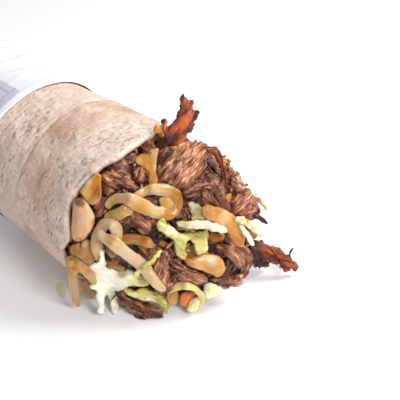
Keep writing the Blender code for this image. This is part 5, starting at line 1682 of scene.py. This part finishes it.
def make_tufts(kinds, tree):
    """Threads round some places of the torn meat, each rooted where its sight line meets the food."""
    rng = random.Random(SEED + 2)
    for kind, middle, reach, count, way_deg, longest, paint in TUFTS:
        for _ in range(count):
            turn, away = rng.uniform(0, 2 * math.pi), reach * math.sqrt(rng.random())
            point = (middle[0] + away * math.cos(turn), middle[1] + away * math.sin(turn))
            along = FRONT.way(way_deg + rng.gauss(0, THREAD_SPREAD_DEG))
            length, lean = rng.uniform(0.4, 1) * longest * MM, rng.uniform(0.1, 0.6)
            found = first_seen(FRONT, tree, point)
            if found is None or found.z < 2 * MM:
                continue
            way, tint = (along + FRONT.back * lean).normalized(), varied(paint, rng, 0.15)
            add_thread(kinds[kind], found, way, length, FRONT.back, rng, tint)


def make_bits():
    """Small bits that lie on the heap, one mesh for each food."""
    everything = node_tree(*[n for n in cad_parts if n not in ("flatbread", "paper_sleeve")])
    kinds = {}
    for name, (kind, outline, thick, lift, turn, paint, spots) in BITS.items():
        build = kinds.setdefault(kind, Build())
        row = (outline, thick, 0.2, turn, paint, spots)
        tree = node_tree(*RESTS[name]) if name in RESTS else everything
        add_patch(build, FRONT, tree, row, kind, name_number(name) % SEED_RANGE, lift)
    rng = random.Random(SEED + 1)
    points, faces = node_mesh("meat_filling")
    on_heap = spread_on(points, faces, AMBER_BITS, rng, lambda p, n: p.x > 22 * MM and p.z > 2 * MM)
    for spot, normal in on_heap:
        lean, size = leaning(normal, rng), sizes(rng, AMBER_SIZE)
        paint = (rng.uniform(0.6, 1), rng.uniform(0, 0.4), rng.uniform(0, 0.3))
        place, seed = spot + normal * rng.uniform(0.8, 2.0) * MM, rng.random() * 9
        add_chunk(kinds["onion"], place, lean, normal, size, paint, seed, CHUNK_FINE)
    make_tufts(kinds, everything)
    for kind, build in kinds.items():
        build.piece(kind + "_bits", kind)


# The table and the lights: each light's azimuth, elevation, distance, size and power.
WHITE, FLOOR_COLOUR = (1, 1, 1, 1), (0.85, 0.85, 0.86)
FLOOR_SIZE, FLOOR_DROP = 6, 0.2 * MM
WORLD_LIGHT, FLOOR_GLOW = 0.32, 0.08
LIGHTS = {"key": (145, 52, 0.9, 0.35, 6.6), "front": (86, 38, 0.9, 0.28, 5.6)}


def make_floor():
    """The pale table, which glows a little so that it stays white."""
    bpy.ops.mesh.primitive_plane_add(size=FLOOR_SIZE, location=(0, 0, -FLOOR_DROP))
    floor = bpy.context.object
    floor.name = "floor"
    p = Paint("pale_table", Roughness=0.9, Emission_Strength=FLOOR_GLOW, Emission_Color=WHITE)
    p.colour = FLOOR_COLOUR
    floor.data.materials.append(p.finish())


def aimed(name, data, place, back):
    """A camera or light at a place, with that way behind it."""
    made = new_object(name, data)
    made.location = place
    made.rotation_mode = "QUATERNION"
    made.rotation_quaternion = back.to_track_quat("Z", "Y")
    return made


def make_camera():
    """A camera at the front sheet's eye."""
    data = bpy.data.cameras.new("camera")
    data.lens, data.sensor_width = LENS, SENSOR
    bpy.context.scene.camera = aimed("camera", data, FRONT.eye + HOME, FRONT.back)


def area_light(name, azimuth, elevation, distance, size, power):
    """A soft square light that faces the wrap."""
    data, back = bpy.data.lights.new(name, "AREA"), direction(azimuth, elevation)
    data.size, data.energy = size, power
    aimed(name, data, HOME + back * distance, back)


def make_light():
    """Bright, soft studio light from the right and behind, and some from the front."""
    world = bpy.data.worlds.new("studio")
    world.use_nodes = True
    background = world.node_tree.nodes["Background"]
    background.inputs["Color"].default_value = WHITE
    background.inputs["Strength"].default_value = WORLD_LIGHT
    bpy.context.scene.world = world
    for name, values in LIGHTS.items():
        area_light(name, *values)
    bpy.context.scene.view_settings.view_transform = "Standard"


make_camera()
make_light()
make_floor()
make_bread()
make_paper()
make_heap()
make_bits()
for ribbon in RIBBONS:
    make_ribbon(ribbon)
for outlined in OUTLINES:
    make_outlined(outlined)
for side_piece in SIDE_PIECES:
    make_side_piece(side_piece)
